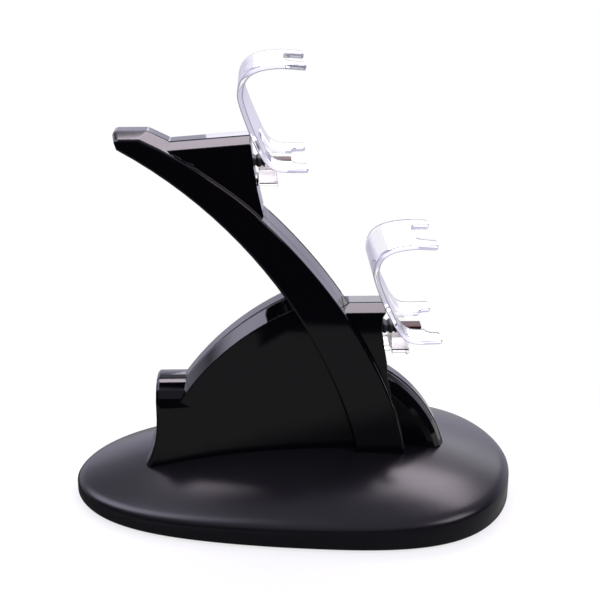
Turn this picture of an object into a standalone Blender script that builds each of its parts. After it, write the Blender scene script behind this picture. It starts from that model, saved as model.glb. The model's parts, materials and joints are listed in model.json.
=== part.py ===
"""Charging station that holds two game controllers, one above the other.

A satin base carries a glossy two-part tower. Two clear holders hook over the back
of a controller each, and a plug below each holder reaches its charging port.

Axes, in metres: +X is the front, where the controllers hang, +Z is up, and Y = 0 is
the middle plane of the tower. The origin is the bottom centre of the base.
"""

import math

import bmesh
import bpy
import numpy as np

# Base: an egg-shaped dome, wider towards the front
BASE_LENGTH = 0.184
BASE_HALF_WIDTH = 0.0556
PLAN_POWER_LONG = 2.085
PLAN_POWER_WIDE = 1.836
PLAN_SWELL = 0.230
PLAN_SWELL_SQUARE = 0.342
PLAN_STEPS = 60
DOME_CENTRE_X = 0.0157
DOME_HEIGHT = 0.0236
DOME_POWER = 2.23
RIM_HEIGHT = 0.0093
RIM_SLOPE = 0.025
RIM_ROUND = 0.0045
RIM_DROP = 0.0024
RIM_BOTTOM = 0.0008
COVER_WALL = 0.002
PLATE_THICKNESS = 0.002
FOOT_RADIUS = 0.006
FOOT_POCKET = 0.0006

# Places under the base: direction on the plan in degrees, and distance in from the rim
FOOT_PLACES = ((180.0, 0.030), (0.0, 0.020), (78.0, 0.0175), (-78.0, 0.0175))
BASE_SCREW_PLACES = ((150.0, 0.018), (-150.0, 0.018), (42.0, 0.012), (-42.0, 0.012))

# Fits and fasteners
GAP = 0.0003
SCREW_RADIUS = 0.0012
SCREW_HEAD_RADIUS = 0.0025
SCREW_HEAD_HEIGHT = 0.0016
BOSS_RADIUS = 0.003
BODY_WALL = 0.002
SEAM_Y = -0.004
PIN_RADIUS = 0.0012
ROD_STEPS = 16
SPARE = 0.005

# Tower walls: half width at a height, growing downwards
ARM_WALL = (0.0116, 0.152, 0.0477)
CORE_WALL = (0.0103, 0.082, 0.060)
HEAD_WALL = (0.0096, 0.152, 0.030)
RIDGE_HALF = 0.004

# Arm: curves of its back and front edges, from the head down to the base
ARM_BACK = ((-0.0672, 0.1487), (-0.0185, 0.1211), (0.0132, 0.0728), (0.0246, 0.0279))
ARM_FRONT = ((0.0457, 0.0240), (0.0387, 0.0606), (0.0136, 0.0966), (-0.0115, 0.1203))
ARM_SHOULDER = ((-0.0115, 0.1203), (-0.0169, 0.1268), (-0.0360, 0.1420), (-0.0590, 0.1526))
ARM_CREST_START = -0.030
ARM_CREST_FULL = -0.047
ARM_CREST_LEAD = 0.0032
ARM_TOP_Z = 0.1545
ARM_TIP_X = -0.0692
ARM_TIP_ROUND = 0.0015
ARM_TIP_PULL = 0.0013
ARM_BEVEL = 0.0009
ARM_FOOT_Z = 0.012
HEAD_CHAMFER = 0.0024

# Head wedge behind the upper holder
HEAD_TOP_FRONT = (-0.0166, 0.1527)
HEAD_TOP_BACK = (-0.0600, 0.1494)
HEAD_FACE = ((-0.0160, 0.1506), (-0.0152, 0.1418), (-0.0138, 0.1325), (-0.0115, 0.1219))

# Hump, rear block, shelf and nose round the foot of the arm
HUMP_BACK_X = -0.052
HUMP_FRONT_X = 0.004
HUMP_RIDGE_Z = (0.0389, 0.0892)
HUMP_RIDGE_RADIUS = 0.1113
HUMP_EDGE_Z = (0.0350, 0.0843)
HUMP_EDGE_RADIUS = 0.1035
REAR_TOP_Z = 0.0512
REAR_X = -0.0564
REAR_RIDGE_HALF = 0.003
REAR_ROUND = 0.0097
REAR_FLARE = 0.0052
REAR_STEP = 0.00005
EDGE_ROUND = 0.001
SHELF_Z = 0.0834
SHELF_X = 0.0373
SHELF_CHAMFER = 0.0022
NOSE_CENTRE = (0.0078, 0.0049)
NOSE_RADIUS = 0.0578
NOSE_ROUND = 0.0062

# Front cover strip of the arm
STRIP_TOP_Z = 0.1195
STRIP_BOTTOM_Z = 0.0815
STRIP_RIM = 0.0015
STRIP_THICKNESS = 0.0018

# Holders: clear hooks with forked ends; places are those of the plug's middle
UPPER_PLUG = (-0.0043, 0.1413)
LOWER_PLUG = (0.0489, 0.0712)
LOWER_LEAN = math.radians(2.4)
HOOK_THICKNESS = 0.0023
HOOK_HALF_TOP = 0.018
HOOK_HALF_BOTTOM = 0.023
HOOK_HEIGHT = 0.040
FORK_SLOT = 0.58
FORK_DEPTH_TOP = 0.0085
FORK_DEPTH_BOTTOM = 0.0062
WINDOW_HALF = 0.0056
BLOCK_HALF = 0.009
BLOCK_HEIGHT = 0.0086
LEDGE_HEIGHT = 0.002
LEDGE_STEP = 0.0005
TAB_HALF = 0.006
TAB_HEIGHT = 0.003

# Plugs and their boots
PLUG_WIDTH = 0.0068
PLUG_HEIGHT = 0.0018
PLUG_METAL = 0.0003
PLUG_REACH = 0.0098
BOOT_HALF = 0.0046
BOOT_HEIGHT = 0.0053
BOOT_LENGTH = 0.0100
BOOT_RIBS = 4

# Electronics
BOARD_THICKNESS = 0.0012
BOARD_Z = 0.0345
BOARD_LENGTH = 0.030
BOARD_HALF = 0.0088
INLET_WIDTH = 0.0078
INLET_HEIGHT = 0.0029
INLET_DEPTH = 0.0056
LEAD_RADIUS = 0.0010
LED_RADIUS = 0.0015


def wall_half(z, wall):
    """Half width of a drafted wall at height z: half = top half + (top z - z) * draft."""
    half, top_z, draft = wall
    return half + (top_z - z) * draft


def bezier(points, steps):
    """Points of a cubic curve, ends included."""
    p = np.array(points)
    t = np.linspace(0.0, 1.0, steps + 1)[:, None]
    curve = (1 - t) ** 3 * p[0] + 3 * t * (1 - t) ** 2 * p[1]
    curve = curve + 3 * t ** 2 * (1 - t) * p[2] + t ** 3 * p[3]
    return [tuple(float(c) for c in row) for row in curve]


def arc(centre, radius, start, end, steps):
    """Points of a circular arc between two angles in degrees."""
    angles = np.radians(np.linspace(start, end, steps + 1))
    return [(centre[0] + radius * math.cos(a), centre[1] + radius * math.sin(a))
            for a in angles]


def arc_angle(centre, radius, x):
    """Angle in degrees, above the centre, at which an arc passes x."""
    return math.degrees(math.acos((x - centre[0]) / radius))


def arc_between(start, end, radius, steps):
    """Points of the arc of a radius that runs through two places, bulging to the upper left."""
    dx = end[0] - start[0]
    dz = end[1] - start[1]
    chord = math.hypot(dx, dz)
    away = math.sqrt(radius ** 2 - chord ** 2 / 4) / chord
    centre = ((start[0] + end[0]) / 2 + dz * away, (start[1] + end[1]) / 2 - dx * away)
    first, last = (math.degrees(math.atan2(z - centre[1], x - centre[0])) for x, z in (start, end))
    return arc(centre, radius, first, last, steps)


def material(name, colour, roughness, metallic=0.0, transmission=0.0):
    mat = bpy.data.materials.new(name)
    mat.use_nodes = True
    shader = mat.node_tree.nodes["Principled BSDF"]
    shader.inputs["Base Color"].default_value = (*colour, 1.0)
    shader.inputs["Roughness"].default_value = roughness
    shader.inputs["Metallic"].default_value = metallic
    shader.inputs["Transmission Weight"].default_value = transmission
    mat.diffuse_color = (*colour, 1.0)
    return mat


class Workshop:
    """Two collections, one for the parts and one for the hidden cutters."""

    def __init__(self, name):
        for old in list(bpy.data.objects):
            bpy.data.objects.remove(old)
        self.parts = bpy.data.collections.new(name)
        self.cutters = bpy.data.collections.new("cutters")
        for group in (self.parts, self.cutters):
            bpy.context.scene.collection.children.link(group)
        self.cutters.hide_render = True

    def add(self, name, mesh, mat=None):
        obj = bpy.data.objects.new(name, mesh)
        group = self.cutters if mat is None else self.parts
        group.objects.link(obj)
        if mat is None:
            obj.hide_render = True
            obj.display_type = "WIRE"
        else:
            mesh.materials.append(mat)
        return obj


def loft_mesh(name, rings):
    """Closed body through rings of equal length, capped at both ends."""
    bm = bmesh.new()
    rows = [[bm.verts.new(p) for p in ring] for ring in rings]
    count = len(rows[0])
    for low, high in zip(rows, rows[1:]):
        for i in range(count):
            j = (i + 1) % count
            bm.faces.new((low[i], low[j], high[j], high[i]))
    bm.faces.new(rows[0])
    bm.faces.new(rows[-1])
    return finish(name, bm)


def finish(name, bm):
    bmesh.ops.recalc_face_normals(bm, faces=bm.faces)
    mesh = bpy.data.meshes.new(name)
    bm.to_mesh(mesh)
    bm.free()
    return mesh


def box_mesh(name, low, high):
    bm = bmesh.new()
    bmesh.ops.create_cube(bm, size=1.0)
    for v in bm.verts:
        for i in range(3):
            v.co[i] = low[i] if v.co[i] < 0 else high[i]
    return finish(name, bm)


def rod_mesh(name, start, length, radius, axis="Z", steps=ROD_STEPS, tip=None):
    """Cylinder or cone from start along an axis, with an end radius of its own."""
    bm = bmesh.new()
    tip = radius if tip is None else tip
    bmesh.ops.create_cone(bm, cap_ends=True, segments=steps, radius1=radius,
                          radius2=tip, depth=length)
    for v in bm.verts:
        x, y, z = v.co
        z += length / 2
        local = {"Z": (x, y, z), "Y": (x, z, -y), "X": (z, y, -x)}[axis]
        v.co = [local[i] + start[i] for i in range(3)]
    return finish(name, bm)


def slab_mesh(name, wall_line, ridge_line, ridge_half, wall):
    """Form across Y: outer lines on a drafted wall, ridge lines nearer the middle."""
    rings = []
    for side, line, ridge in ((1, wall_line, False), (1, ridge_line, True),
                              (-1, ridge_line, True), (-1, wall_line, False)):
        half = [ridge_half if ridge else wall_half(z, wall) for x, z in line]
        rings.append([(x, side * h, z) for (x, z), h in zip(line, half)])
    return loft_mesh(name, rings)


def plain_slab(name, line, wall, shrink=0.0):
    """Form across Y with one outline and drafted walls."""
    rings = []
    for side in (1, -1):
        rings.append([(x, side * (wall_half(z, wall) - shrink), z) for x, z in line])
    return loft_mesh(name, rings)


def cut(target, tool, operation="DIFFERENCE"):
    mod = target.modifiers.new(tool.name, "BOOLEAN")
    mod.operation = operation
    mod.solver = "EXACT"
    mod.object = tool
    return mod


def bevel(obj, width, segments=2, angle=50.0):
    mod = obj.modifiers.new("edges", "BEVEL")
    mod.width = width
    mod.segments = segments
    mod.limit_method = "ANGLE"
    mod.angle_limit = math.radians(angle)


def inset_line(line, distance):
    """Closed outline moved inwards, mitred at each corner."""
    p = np.array(line)
    back = p - np.roll(p, 1, axis=0)
    ahead = np.roll(p, -1, axis=0) - p
    area = np.sum(p[:, 0] * np.roll(p[:, 1], -1) - np.roll(p[:, 0], -1) * p[:, 1])
    turn = 1.0 if area > 0 else -1.0
    n1 = turn * np.stack([-back[:, 1], back[:, 0]], 1) / np.linalg.norm(back, axis=1)[:, None]
    n2 = turn * np.stack([-ahead[:, 1], ahead[:, 0]], 1) / np.linalg.norm(ahead, axis=1)[:, None]
    mitre = n1 + n2
    scale = np.maximum(np.sum(mitre * n1, axis=1), 0.5)[:, None]
    return [tuple(float(c) for c in q) for q in p + mitre * distance / scale]


def signed_power(value, power):
    return math.copysign(abs(value) ** power, value)


def plan_point(t):
    """Point of the egg-shaped plan: a superellipse whose width swells towards +X."""
    c = math.cos(t)
    s = math.sin(t)
    swell = 1 + PLAN_SWELL * c + PLAN_SWELL_SQUARE * c * c
    x = BASE_LENGTH / 2 * signed_power(c, 2 / PLAN_POWER_LONG)
    return x, BASE_HALF_WIDTH * signed_power(s, 2 / PLAN_POWER_WIDE) * swell


def plan_outline(steps=PLAN_STEPS):
    return [plan_point(2 * math.pi * i / steps) for i in range(steps)]


def inside_rim(turn, margin):
    """Place at a distance in from the rim, on the line from the rim to the dome's middle."""
    x, y = plan_point(math.radians(turn))
    share = 1 - margin / math.hypot(x - DOME_CENTRE_X, y)
    return DOME_CENTRE_X + share * (x - DOME_CENTRE_X), share * y


def rim_height(x):
    return RIM_HEIGHT + RIM_SLOPE * x


def dome_z(x_rim, rho):
    """Dome: z = rim + (top - rim) * (1 - rho ** power), rho = 1 at the rim."""
    rim = rim_height(x_rim)
    return rim + (DOME_HEIGHT - rim) * (1 - rho ** DOME_POWER)


def dome_height(x, y):
    """Height of the dome over any point of the plan."""
    outline = np.array(plan_outline(720))
    dx = outline[:, 0] - DOME_CENTRE_X
    dy = outline[:, 1]
    angle = math.atan2(y, x - DOME_CENTRE_X)
    turns = np.abs(np.angle(np.exp(1j * (np.arctan2(dy, dx) - angle))))
    i = int(np.argmin(turns))
    rho = math.hypot(x - DOME_CENTRE_X, y) / math.hypot(dx[i], dy[i])
    return dome_z(float(outline[i, 0]), rho)


def dome_rings(lift=0.0, bottom=RIM_BOTTOM):
    """Rings of the cover's outer surface, from near the top down to the bottom edge."""
    outline = plan_outline()
    rings = []
    for share in (0.2, 0.4, 0.58, 0.74, 0.88, 1.0):
        ring = []
        for x, y in outline:
            reach = math.hypot(x - DOME_CENTRE_X, y)
            rho = share * (1 - RIM_ROUND / reach)
            ring.append((DOME_CENTRE_X + rho * (x - DOME_CENTRE_X), rho * y,
                         dome_z(x, rho) + lift))
        rings.append(ring)
    for t in (0.3, 0.6, 1.0):
        ring = []
        for x, y in outline:
            reach = math.hypot(x - DOME_CENTRE_X, y)
            start = 1 - RIM_ROUND / reach
            rho = (1 - t) ** 2 * start + 2 * t * (1 - t) + t * t
            z = (1 - t) ** 2 * dome_z(x, start) + 2 * t * (1 - t) * rim_height(x)
            z = z + t * t * (rim_height(x) - RIM_DROP)
            ring.append((DOME_CENTRE_X + rho * (x - DOME_CENTRE_X), rho * y, z + lift))
        rings.append(ring)
    rings.append([(x, y, bottom) for x, y in outline])
    return rings


def dome_mesh(name, lift=0.0, bottom=RIM_BOTTOM, closed=False):
    bm = bmesh.new()
    top = bm.verts.new((DOME_CENTRE_X, 0.0, DOME_HEIGHT + lift))
    rows = [[bm.verts.new(p) for p in ring] for ring in dome_rings(lift, bottom)]
    count = len(rows[0])
    for i in range(count):
        bm.faces.new((top, rows[0][i], rows[0][(i + 1) % count]))
    for high, low in zip(rows, rows[1:]):
        for i in range(count):
            j = (i + 1) % count
            bm.faces.new((high[i], low[i], low[j], high[j]))
    if closed:
        bm.faces.new(rows[-1])
    return finish(name, bm)


BODY_SCREWS = ((-0.036, 0.0088), (-0.036, -0.0088), (0.034, 0.0128), (0.034, -0.0128))
BASE_SCREWS = [inside_rim(turn, margin) for turn, margin in BASE_SCREW_PLACES]
FEET = [inside_rim(turn, margin) for turn, margin in FOOT_PLACES]


def make_base_cover(shop, mat):
    """Domed cover, hollow from below, with posts for the plate and holes for the tower."""
    cover = shop.add("base_cover", dome_mesh("base_cover"), mat)
    wall = cover.modifiers.new("wall", "SOLIDIFY")
    wall.thickness = COVER_WALL
    wall.offset = -1.0
    wall.use_even_offset = True
    floor_z = RIM_BOTTOM + PLATE_THICKNESS + GAP
    for i, (x, y) in enumerate(BASE_SCREWS):
        top = dome_height(x, y) - COVER_WALL * 0.75
        post = rod_mesh(f"cover_post_{i}", (x, y, floor_z), top - floor_z, BOSS_RADIUS)
        cut(cover, shop.add(f"cover_post_{i}", post), "UNION")
        bore = rod_mesh(f"cover_bore_{i}", (x, y, floor_z - GAP), top - floor_z - COVER_WALL,
                        SCREW_RADIUS + GAP)
        cut(cover, shop.add(f"cover_bore_{i}", bore))
    for i, (x, y) in enumerate(BODY_SCREWS):
        hole = rod_mesh(f"cover_hole_{i}", (x, y, 0.008), 0.03, SCREW_RADIUS + GAP)
        cut(cover, shop.add(f"cover_hole_{i}", hole))
    return cover


def make_base_plate(shop, mat):
    """Flat plate that closes the cover, flush with its rim, with pockets for the feet."""
    edge = inset_line(plan_outline(), COVER_WALL + GAP)
    low = RIM_BOTTOM
    high = RIM_BOTTOM + PLATE_THICKNESS
    rings = [[(x, y, low) for x, y in edge], [(x, y, high) for x, y in edge]]
    plate = shop.add("base_plate", loft_mesh("base_plate", rings), mat)
    for i, (x, y) in enumerate(FEET):
        pocket = rod_mesh(f"foot_pocket_{i}", (x, y, low - 0.001), 0.001 + FOOT_POCKET,
                          FOOT_RADIUS + GAP)
        cut(plate, shop.add(f"foot_pocket_{i}", pocket))
    for i, (x, y) in enumerate(BASE_SCREWS):
        hole = rod_mesh(f"plate_hole_{i}", (x, y, low - 0.001), 0.004, SCREW_RADIUS + GAP)
        cut(plate, shop.add(f"plate_hole_{i}", hole))
        sink = rod_mesh(f"plate_sink_{i}", (x, y, low - 0.001), 0.001 + PLATE_THICKNESS * 0.5,
                        SCREW_HEAD_RADIUS + GAP)
        cut(plate, shop.add(f"plate_sink_{i}", sink))
    return plate


def make_foot(shop, mat, number, place):
    x, y = place
    height = RIM_BOTTOM + FOOT_POCKET - GAP
    foot = rod_mesh(f"foot_{number}", (x, y, 0.0), height, FOOT_RADIUS * 0.94, steps=24,
                    tip=FOOT_RADIUS)
    return shop.add(f"foot_{number}", foot, mat)


def make_screw(shop, mat, name, place, head_z, length, head_height):
    """Pan-head screw from below: a turned profile with a cross recess."""
    x, y = place
    bm = bmesh.new()
    profile = ((0.0, 0.0), (SCREW_HEAD_RADIUS * 0.8, 0.0), (SCREW_HEAD_RADIUS, head_height * 0.4),
               (SCREW_HEAD_RADIUS, head_height), (SCREW_RADIUS, head_height),
               (SCREW_RADIUS, length - SCREW_RADIUS), (0.0, length))
    line = [bm.verts.new((x + r, y, head_z + h)) for r, h in profile]
    edges = [bm.edges.new(pair) for pair in zip(line, line[1:])]
    bmesh.ops.spin(bm, geom=line + edges, cent=(x, y, 0.0), axis=(0, 0, 1),
                   angle=math.tau, steps=12, use_duplicate=False)
    bmesh.ops.remove_doubles(bm, verts=bm.verts, dist=0.00001)
    screw = shop.add(name, finish(name, bm), mat)
    for k, (half_x, half_y) in enumerate(((0.0015, 0.0003), (0.0003, 0.0015))):
        low = (x - half_x, y - half_y, head_z - 0.001)
        high = (x + half_x, y + half_y, head_z + head_height * 0.5)
        slot = shop.add(f"{name}_slot_{k}", box_mesh(f"{name}_slot_{k}", low, high))
        cut(screw, slot)
    return screw


def crest(line):
    """The shoulder's line along the ridge: it leads and rises by a share that grows rearwards."""
    rise = ARM_TOP_Z - line[-1][1]
    share = [min(max((ARM_CREST_START - x) / (ARM_CREST_START - ARM_CREST_FULL), 0.0), 1.0)
             for x, z in line]
    return [(x + ARM_CREST_LEAD * s, z + rise * s) for (x, z), s in zip(line, share)]


def arm_lines():
    """Outline of the arm at its walls and, with the raised tip, along the ridge."""
    back = bezier(ARM_BACK, 22)
    front = bezier(ARM_FRONT, 20)
    shoulder = bezier(ARM_SHOULDER, 9)[1:]
    foot = [(0.0262, ARM_FOOT_Z), (0.0464, ARM_FOOT_Z)]
    tip = arc((ARM_TIP_X + ARM_TIP_ROUND, ARM_TOP_Z - ARM_TIP_ROUND), ARM_TIP_ROUND,
              90.0, 180.0, 2)
    drop = ARM_TOP_Z - shoulder[-1][1]
    ridge = back + foot + front + crest(shoulder) + tip
    wall = back + foot + front + shoulder + [(x + ARM_TIP_PULL, z - drop) for x, z in tip]
    return wall, ridge


def head_lines():
    front_x, front_z = HEAD_TOP_FRONT
    back_x, back_z = HEAD_TOP_BACK
    belly = [(-0.0140, 0.1165), (-0.0300, 0.1300), (-0.0580, 0.1470)]
    ridge = [(back_x, back_z), (front_x, front_z)] + list(HEAD_FACE) + belly
    wall = [(back_x, back_z - HEAD_CHAMFER), (front_x, front_z - HEAD_CHAMFER)]
    wall += [(HEAD_FACE[0][0], HEAD_FACE[0][1] - HEAD_CHAMFER * 0.3)]
    wall += list(HEAD_FACE[1:]) + belly
    return wall, ridge


def hump_lines(inset=0.0):
    """Outline of the hump along its ridge and, lower, along the edges of its walls."""
    floor = ARM_FOOT_Z * 0.7
    inner = [(0.0100, 0.0800), (0.0205, 0.0600), (0.0275, 0.0400), (0.0320, floor),
             (HUMP_BACK_X, floor)]
    lines = []
    for (back_z, front_z), radius in ((HUMP_EDGE_Z, HUMP_EDGE_RADIUS),
                                      (HUMP_RIDGE_Z, HUMP_RIDGE_RADIUS)):
        crown = arc_between((HUMP_BACK_X, back_z - inset), (HUMP_FRONT_X, front_z - inset),
                            radius, 16)
        lines.append(crown + inner)
    return lines


def rear_outline(top_z, back):
    """Side outline of the rear block, with its foot flared to the rear."""
    floor = ARM_FOOT_Z * 0.6
    flare = [(REAR_X - REAR_FLARE * back * s ** 2.2, 0.036 - 0.022 * s) for s in
             (0.0, 0.25, 0.5, 0.75, 1.0)]
    lines = [(-0.036, floor), (-0.036, top_z), (REAR_X + 0.001, top_z), (REAR_X, top_z - 0.001)]
    return lines + flare + [(flare[-1][0] - 0.0004, floor)]


def rear_mesh(name, shrink=0.0):
    """Rear block: rings from the ridge over a rounded shoulder to the drafted wall."""
    rings = []
    for side in (1, -1):
        row = []
        for angle in (0.0, 22.5, 45.0, 67.5, 90.0):
            a = math.radians(angle)
            top = REAR_TOP_Z - REAR_ROUND * (1 - math.cos(a)) - shrink
            line = rear_outline(top, 1.0 + 0.25 * math.cos(a))
            pull = shrink + (EDGE_ROUND if angle == 90.0 else 0.0)
            line = [(x + pull * (1 if x < -0.04 else 0), z) for x, z in line]
            if angle == 90.0:
                half = [wall_half(z, CORE_WALL) - shrink + REAR_STEP for x, z in line]
            else:
                half = [REAR_RIDGE_HALF + REAR_ROUND * math.sin(a) - shrink * math.sin(a)]
                half = half * len(line)
            row.append([(x, side * h, z) for (x, z), h in zip(line, half)])
        rings += row[::-1] if side == 1 else row
    return loft_mesh(name, rings)


def shelf_lines(inset=0.0):
    """Shelf under the lower holder: flat top and a hollow front face."""
    face = []
    for s in (0.14, 0.3, 0.5, 0.75, 1.0):
        hollow = 0.0016 * math.sin(math.pi * min(s * 1.5, 1.0) ** 0.8)
        face.append((SHELF_X - hollow + 0.0013 * s * s - inset, SHELF_Z - 0.0310 * s))
    face = [p for p in face if p[1] < SHELF_Z - SHELF_CHAMFER - inset - 0.0005]
    inner = [(0.040 - inset, 0.046), (0.040 - inset, 0.010), (0.0345, 0.010),
             (0.0300, 0.0400), (0.0235, 0.0600), (0.0145, 0.0760)]
    top = [(0.0140, SHELF_Z - inset), (SHELF_X - inset, SHELF_Z - inset)]
    ridge = top + face + inner
    wall = [(x, z - SHELF_CHAMFER) for x, z in top] + face + inner
    return wall, ridge


def nose_mesh(name, inset=0.0):
    """Nose in front of the tower: an arched bar with largely rounded sides."""
    rings = []
    spread = ((0.0098, 1.0), (0.0092, 0.62), (0.0074, 0.26), (0.0030, 0.0))
    for side in (1, -1):
        row = []
        for half, sink in spread:
            radius = NOSE_RADIUS - NOSE_ROUND * sink - inset
            start = arc_angle(NOSE_CENTRE, radius, 0.034)
            line = arc(NOSE_CENTRE, radius, start, 12.0, 12)
            last = line[-1]
            line += [(last[0] - 0.0002, 0.010), (0.034, 0.010)]
            width = half - inset if half > 0.005 else half
            row.append([(x, side * width, z) for x, z in line])
        rings += row if side == 1 else row[::-1]
    return loft_mesh(name, rings)


def make_body_form(shop):
    """Outer form of the tower: arm, head wedge, hump, rear block, shelf and nose."""
    wall, ridge = arm_lines()
    body = shop.add("form_arm", slab_mesh("form_arm", wall, ridge, RIDGE_HALF, ARM_WALL))
    bevel(body, ARM_BEVEL)
    wall, ridge = head_lines()
    head = shop.add("form_head", slab_mesh("form_head", wall, ridge, RIDGE_HALF, HEAD_WALL))
    wall, ridge = hump_lines()
    hump = shop.add("form_hump", slab_mesh("form_hump", wall, ridge, RIDGE_HALF, CORE_WALL))
    rear = shop.add("form_rear", rear_mesh("form_rear"))
    wall, ridge = shelf_lines()
    shelf = shop.add("form_shelf", slab_mesh("form_shelf", wall, ridge, RIDGE_HALF, CORE_WALL))
    nose = shop.add("form_nose", nose_mesh("form_nose"))
    for form in (head, hump, rear, shelf, nose):
        cut(body, form, "UNION")
    return body


def make_cavities(shop):
    """Inside of the tower: the same forms, smaller by the wall."""
    line = bezier(ARM_BACK, 22)[2:] + [(0.0262, ARM_FOOT_Z), (0.0464, ARM_FOOT_Z)]
    line = inset_line(line + bezier(ARM_FRONT, 20) + bezier(ARM_SHOULDER, 9)[1:-1],
                      BODY_WALL * 1.15)
    arm = shop.add("void_arm", plain_slab("void_arm", line, ARM_WALL, BODY_WALL * 1.5))
    top = HEAD_CHAMFER + BODY_WALL
    line = [(-0.050, HEAD_TOP_BACK[1] - top), (HEAD_TOP_FRONT[0] - BODY_WALL, HEAD_TOP_FRONT[1] - top)]
    line += [(x - BODY_WALL, z) for x, z in HEAD_FACE[1:]]
    line += [(-0.0160, 0.1180), (-0.0300, 0.1305), (-0.0500, 0.1415)]
    head = shop.add("void_head", plain_slab("void_head", line, HEAD_WALL, BODY_WALL))
    line = hump_lines(BODY_WALL)[0]
    line = [(max(x, HUMP_BACK_X + BODY_WALL), z) for x, z in line]
    hump = shop.add("void_hump", plain_slab("void_hump", line, CORE_WALL, BODY_WALL))
    rear = shop.add("void_rear", rear_mesh("void_rear", BODY_WALL))
    line = shelf_lines(BODY_WALL)[0]
    shelf = shop.add("void_shelf", plain_slab("void_shelf", line, CORE_WALL, BODY_WALL))
    nose = shop.add("void_nose", nose_mesh("void_nose", BODY_WALL))
    return [arm, head, hump, rear, shelf, nose]


def strip_line(offset_out, offset_in, grow=0.0):
    """Outline of the arm's front strip between two heights."""
    front = bezier(ARM_FRONT, 40)
    part = [p for p in front if STRIP_BOTTOM_Z - grow <= p[1] <= STRIP_TOP_Z + grow]
    p = np.array(part)
    along = np.gradient(p, axis=0)
    normal = np.stack([along[:, 1], -along[:, 0]], 1)
    normal /= np.linalg.norm(normal, axis=1)[:, None]
    outer = p + normal * offset_out
    inner = p - normal * offset_in
    return [tuple(float(c) for c in q) for q in list(outer) + list(inner[::-1])]


def make_front_strip(shop, mat):
    line = strip_line(0.0, STRIP_THICKNESS)
    line = inset_line(line, GAP * 0.5)
    mesh = plain_slab("arm_front_cover", line, ARM_WALL, STRIP_RIM + GAP)
    return shop.add("arm_front_cover", mesh, mat)


def plug_openings(shop, name, place):
    """Openings in the tower for the boot and for the tab of the holder."""
    x, z = place
    half = BOOT_HALF + GAP
    high = BOOT_HEIGHT / 2 + GAP
    boot = box_mesh(f"{name}_boot_hole", (x - 0.020, -half, z - high), (x - 0.004, half, z + high))
    tab_z = z - BLOCK_HEIGHT + TAB_HEIGHT / 2
    half = TAB_HALF + GAP
    high = TAB_HEIGHT / 2 + GAP
    tab = box_mesh(f"{name}_tab_hole", (x - 0.015, -half, tab_z - high),
                   (x - 0.004, half, tab_z + high))
    return [shop.add(f"{name}_boot_hole", boot), shop.add(f"{name}_tab_hole", tab)]


def inlet_opening(shop):
    z = BOARD_Z + BOARD_THICKNESS + GAP + INLET_HEIGHT / 2
    half = INLET_WIDTH / 2 + GAP
    high = INLET_HEIGHT / 2 + GAP
    hole = box_mesh("inlet_hole", (REAR_X - 0.004, -half, z - high),
                    (REAR_X + 0.006, half, z + high))
    return shop.add("inlet_hole", hole)


PINS = ((-0.022, 0.058, CORE_WALL), (0.030, 0.048, ARM_WALL), (-0.040, 0.1405, ARM_WALL))


def make_shells(shop, mat):
    """Near and far half of the tower, parted along the seam, with posts and pins."""
    body = make_body_form(shop)
    for void in make_cavities(shop):
        cut(body, void)
    line = strip_line(0.004, STRIP_THICKNESS + GAP, GAP)
    recess = shop.add("strip_recess", plain_slab("strip_recess", line, ARM_WALL, STRIP_RIM))
    cut(body, recess)
    for tool in plug_openings(shop, "upper", UPPER_PLUG) + plug_openings(shop, "lower", LOWER_PLUG):
        cut(body, tool)
    cut(body, inlet_opening(shop))
    add_posts(shop, body)
    shells = []
    for name, side in (("far_shell", 1), ("near_shell", -1)):
        edge = SEAM_Y + side * GAP / 2
        limits = sorted((edge, side * (wall_half(0.0, ARM_WALL) + SPARE)))
        low = (ARM_TIP_X - SPARE, limits[0], 0.0)
        high = (NOSE_CENTRE[0] + NOSE_RADIUS + SPARE, limits[1], ARM_TOP_Z + SPARE)
        block = box_mesh(name, low, high)
        shell = shop.add(name, block, mat)
        for i, (x, z, _) in enumerate(PINS):
            if side > 0:
                hole = rod_mesh(f"socket_{i}", (x, edge - 0.001, z), 0.0055,
                                PIN_RADIUS + GAP, "Y", 20)
                cut(shell, shop.add(f"socket_{i}", hole))
            else:
                pin = rod_mesh(f"pin_{i}", (x, edge - 0.002, z), 0.006, PIN_RADIUS, "Y", 20)
                cut(shell, shop.add(f"pin_{i}", pin), "UNION")
        cut(shell, body, "INTERSECT")
        shells.append(shell)
    return shells


def add_posts(shop, body):
    """Screw posts on the base, columns for the pins, and the fit on the dome."""
    for i, (x, z, side) in enumerate(PINS):
        wall = wall_half(z, side) - BODY_WALL * 0.7
        column = rod_mesh(f"column_{i}", (x, -wall, z), wall * 2, BOSS_RADIUS * 0.9, "Y")
        cut(body, shop.add(f"column_{i}", column), "UNION")
    for i, (x, y) in enumerate(BODY_SCREWS):
        floor = dome_height(x, y) - 0.003
        top = BOARD_Z - GAP if x < 0 else floor + 0.014
        post = rod_mesh(f"post_{i}", (x, y, floor), top - floor, BOSS_RADIUS)
        cut(body, shop.add(f"post_{i}", post), "UNION")
        bore = rod_mesh(f"bore_{i}", (x, y, floor - 0.001), 0.0125, SCREW_RADIUS + GAP)
        cut(body, shop.add(f"bore_{i}", bore))
    cut(body, shop.add("dome_space", dome_mesh("dome_space", GAP, -0.02, closed=True)))


def hook_profile():
    """Outer line of the clear hook, from the upper fork end round to the lower one.

    Places are relative to the plug's middle.
    """
    top = [(0.0092, 0.0403), (0.0012, 0.0410)]
    crown = bezier(((0.0012, 0.0410), (-0.0110, 0.0412), (-0.0165, 0.0380), (-0.0166, 0.0290)), 9)
    knee = bezier(((-0.0166, 0.0290), (-0.0166, 0.0262), (-0.0128, 0.0165), (-0.0112, 0.0130)), 5)
    bend = bezier(((-0.0112, 0.0130), (-0.0078, 0.0055), (-0.0060, 0.0014), (0.0018, 0.0013)), 8)
    return top[:1] + crown + knee[1:] + bend[1:] + [(0.0098, 0.0011)]


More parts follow.
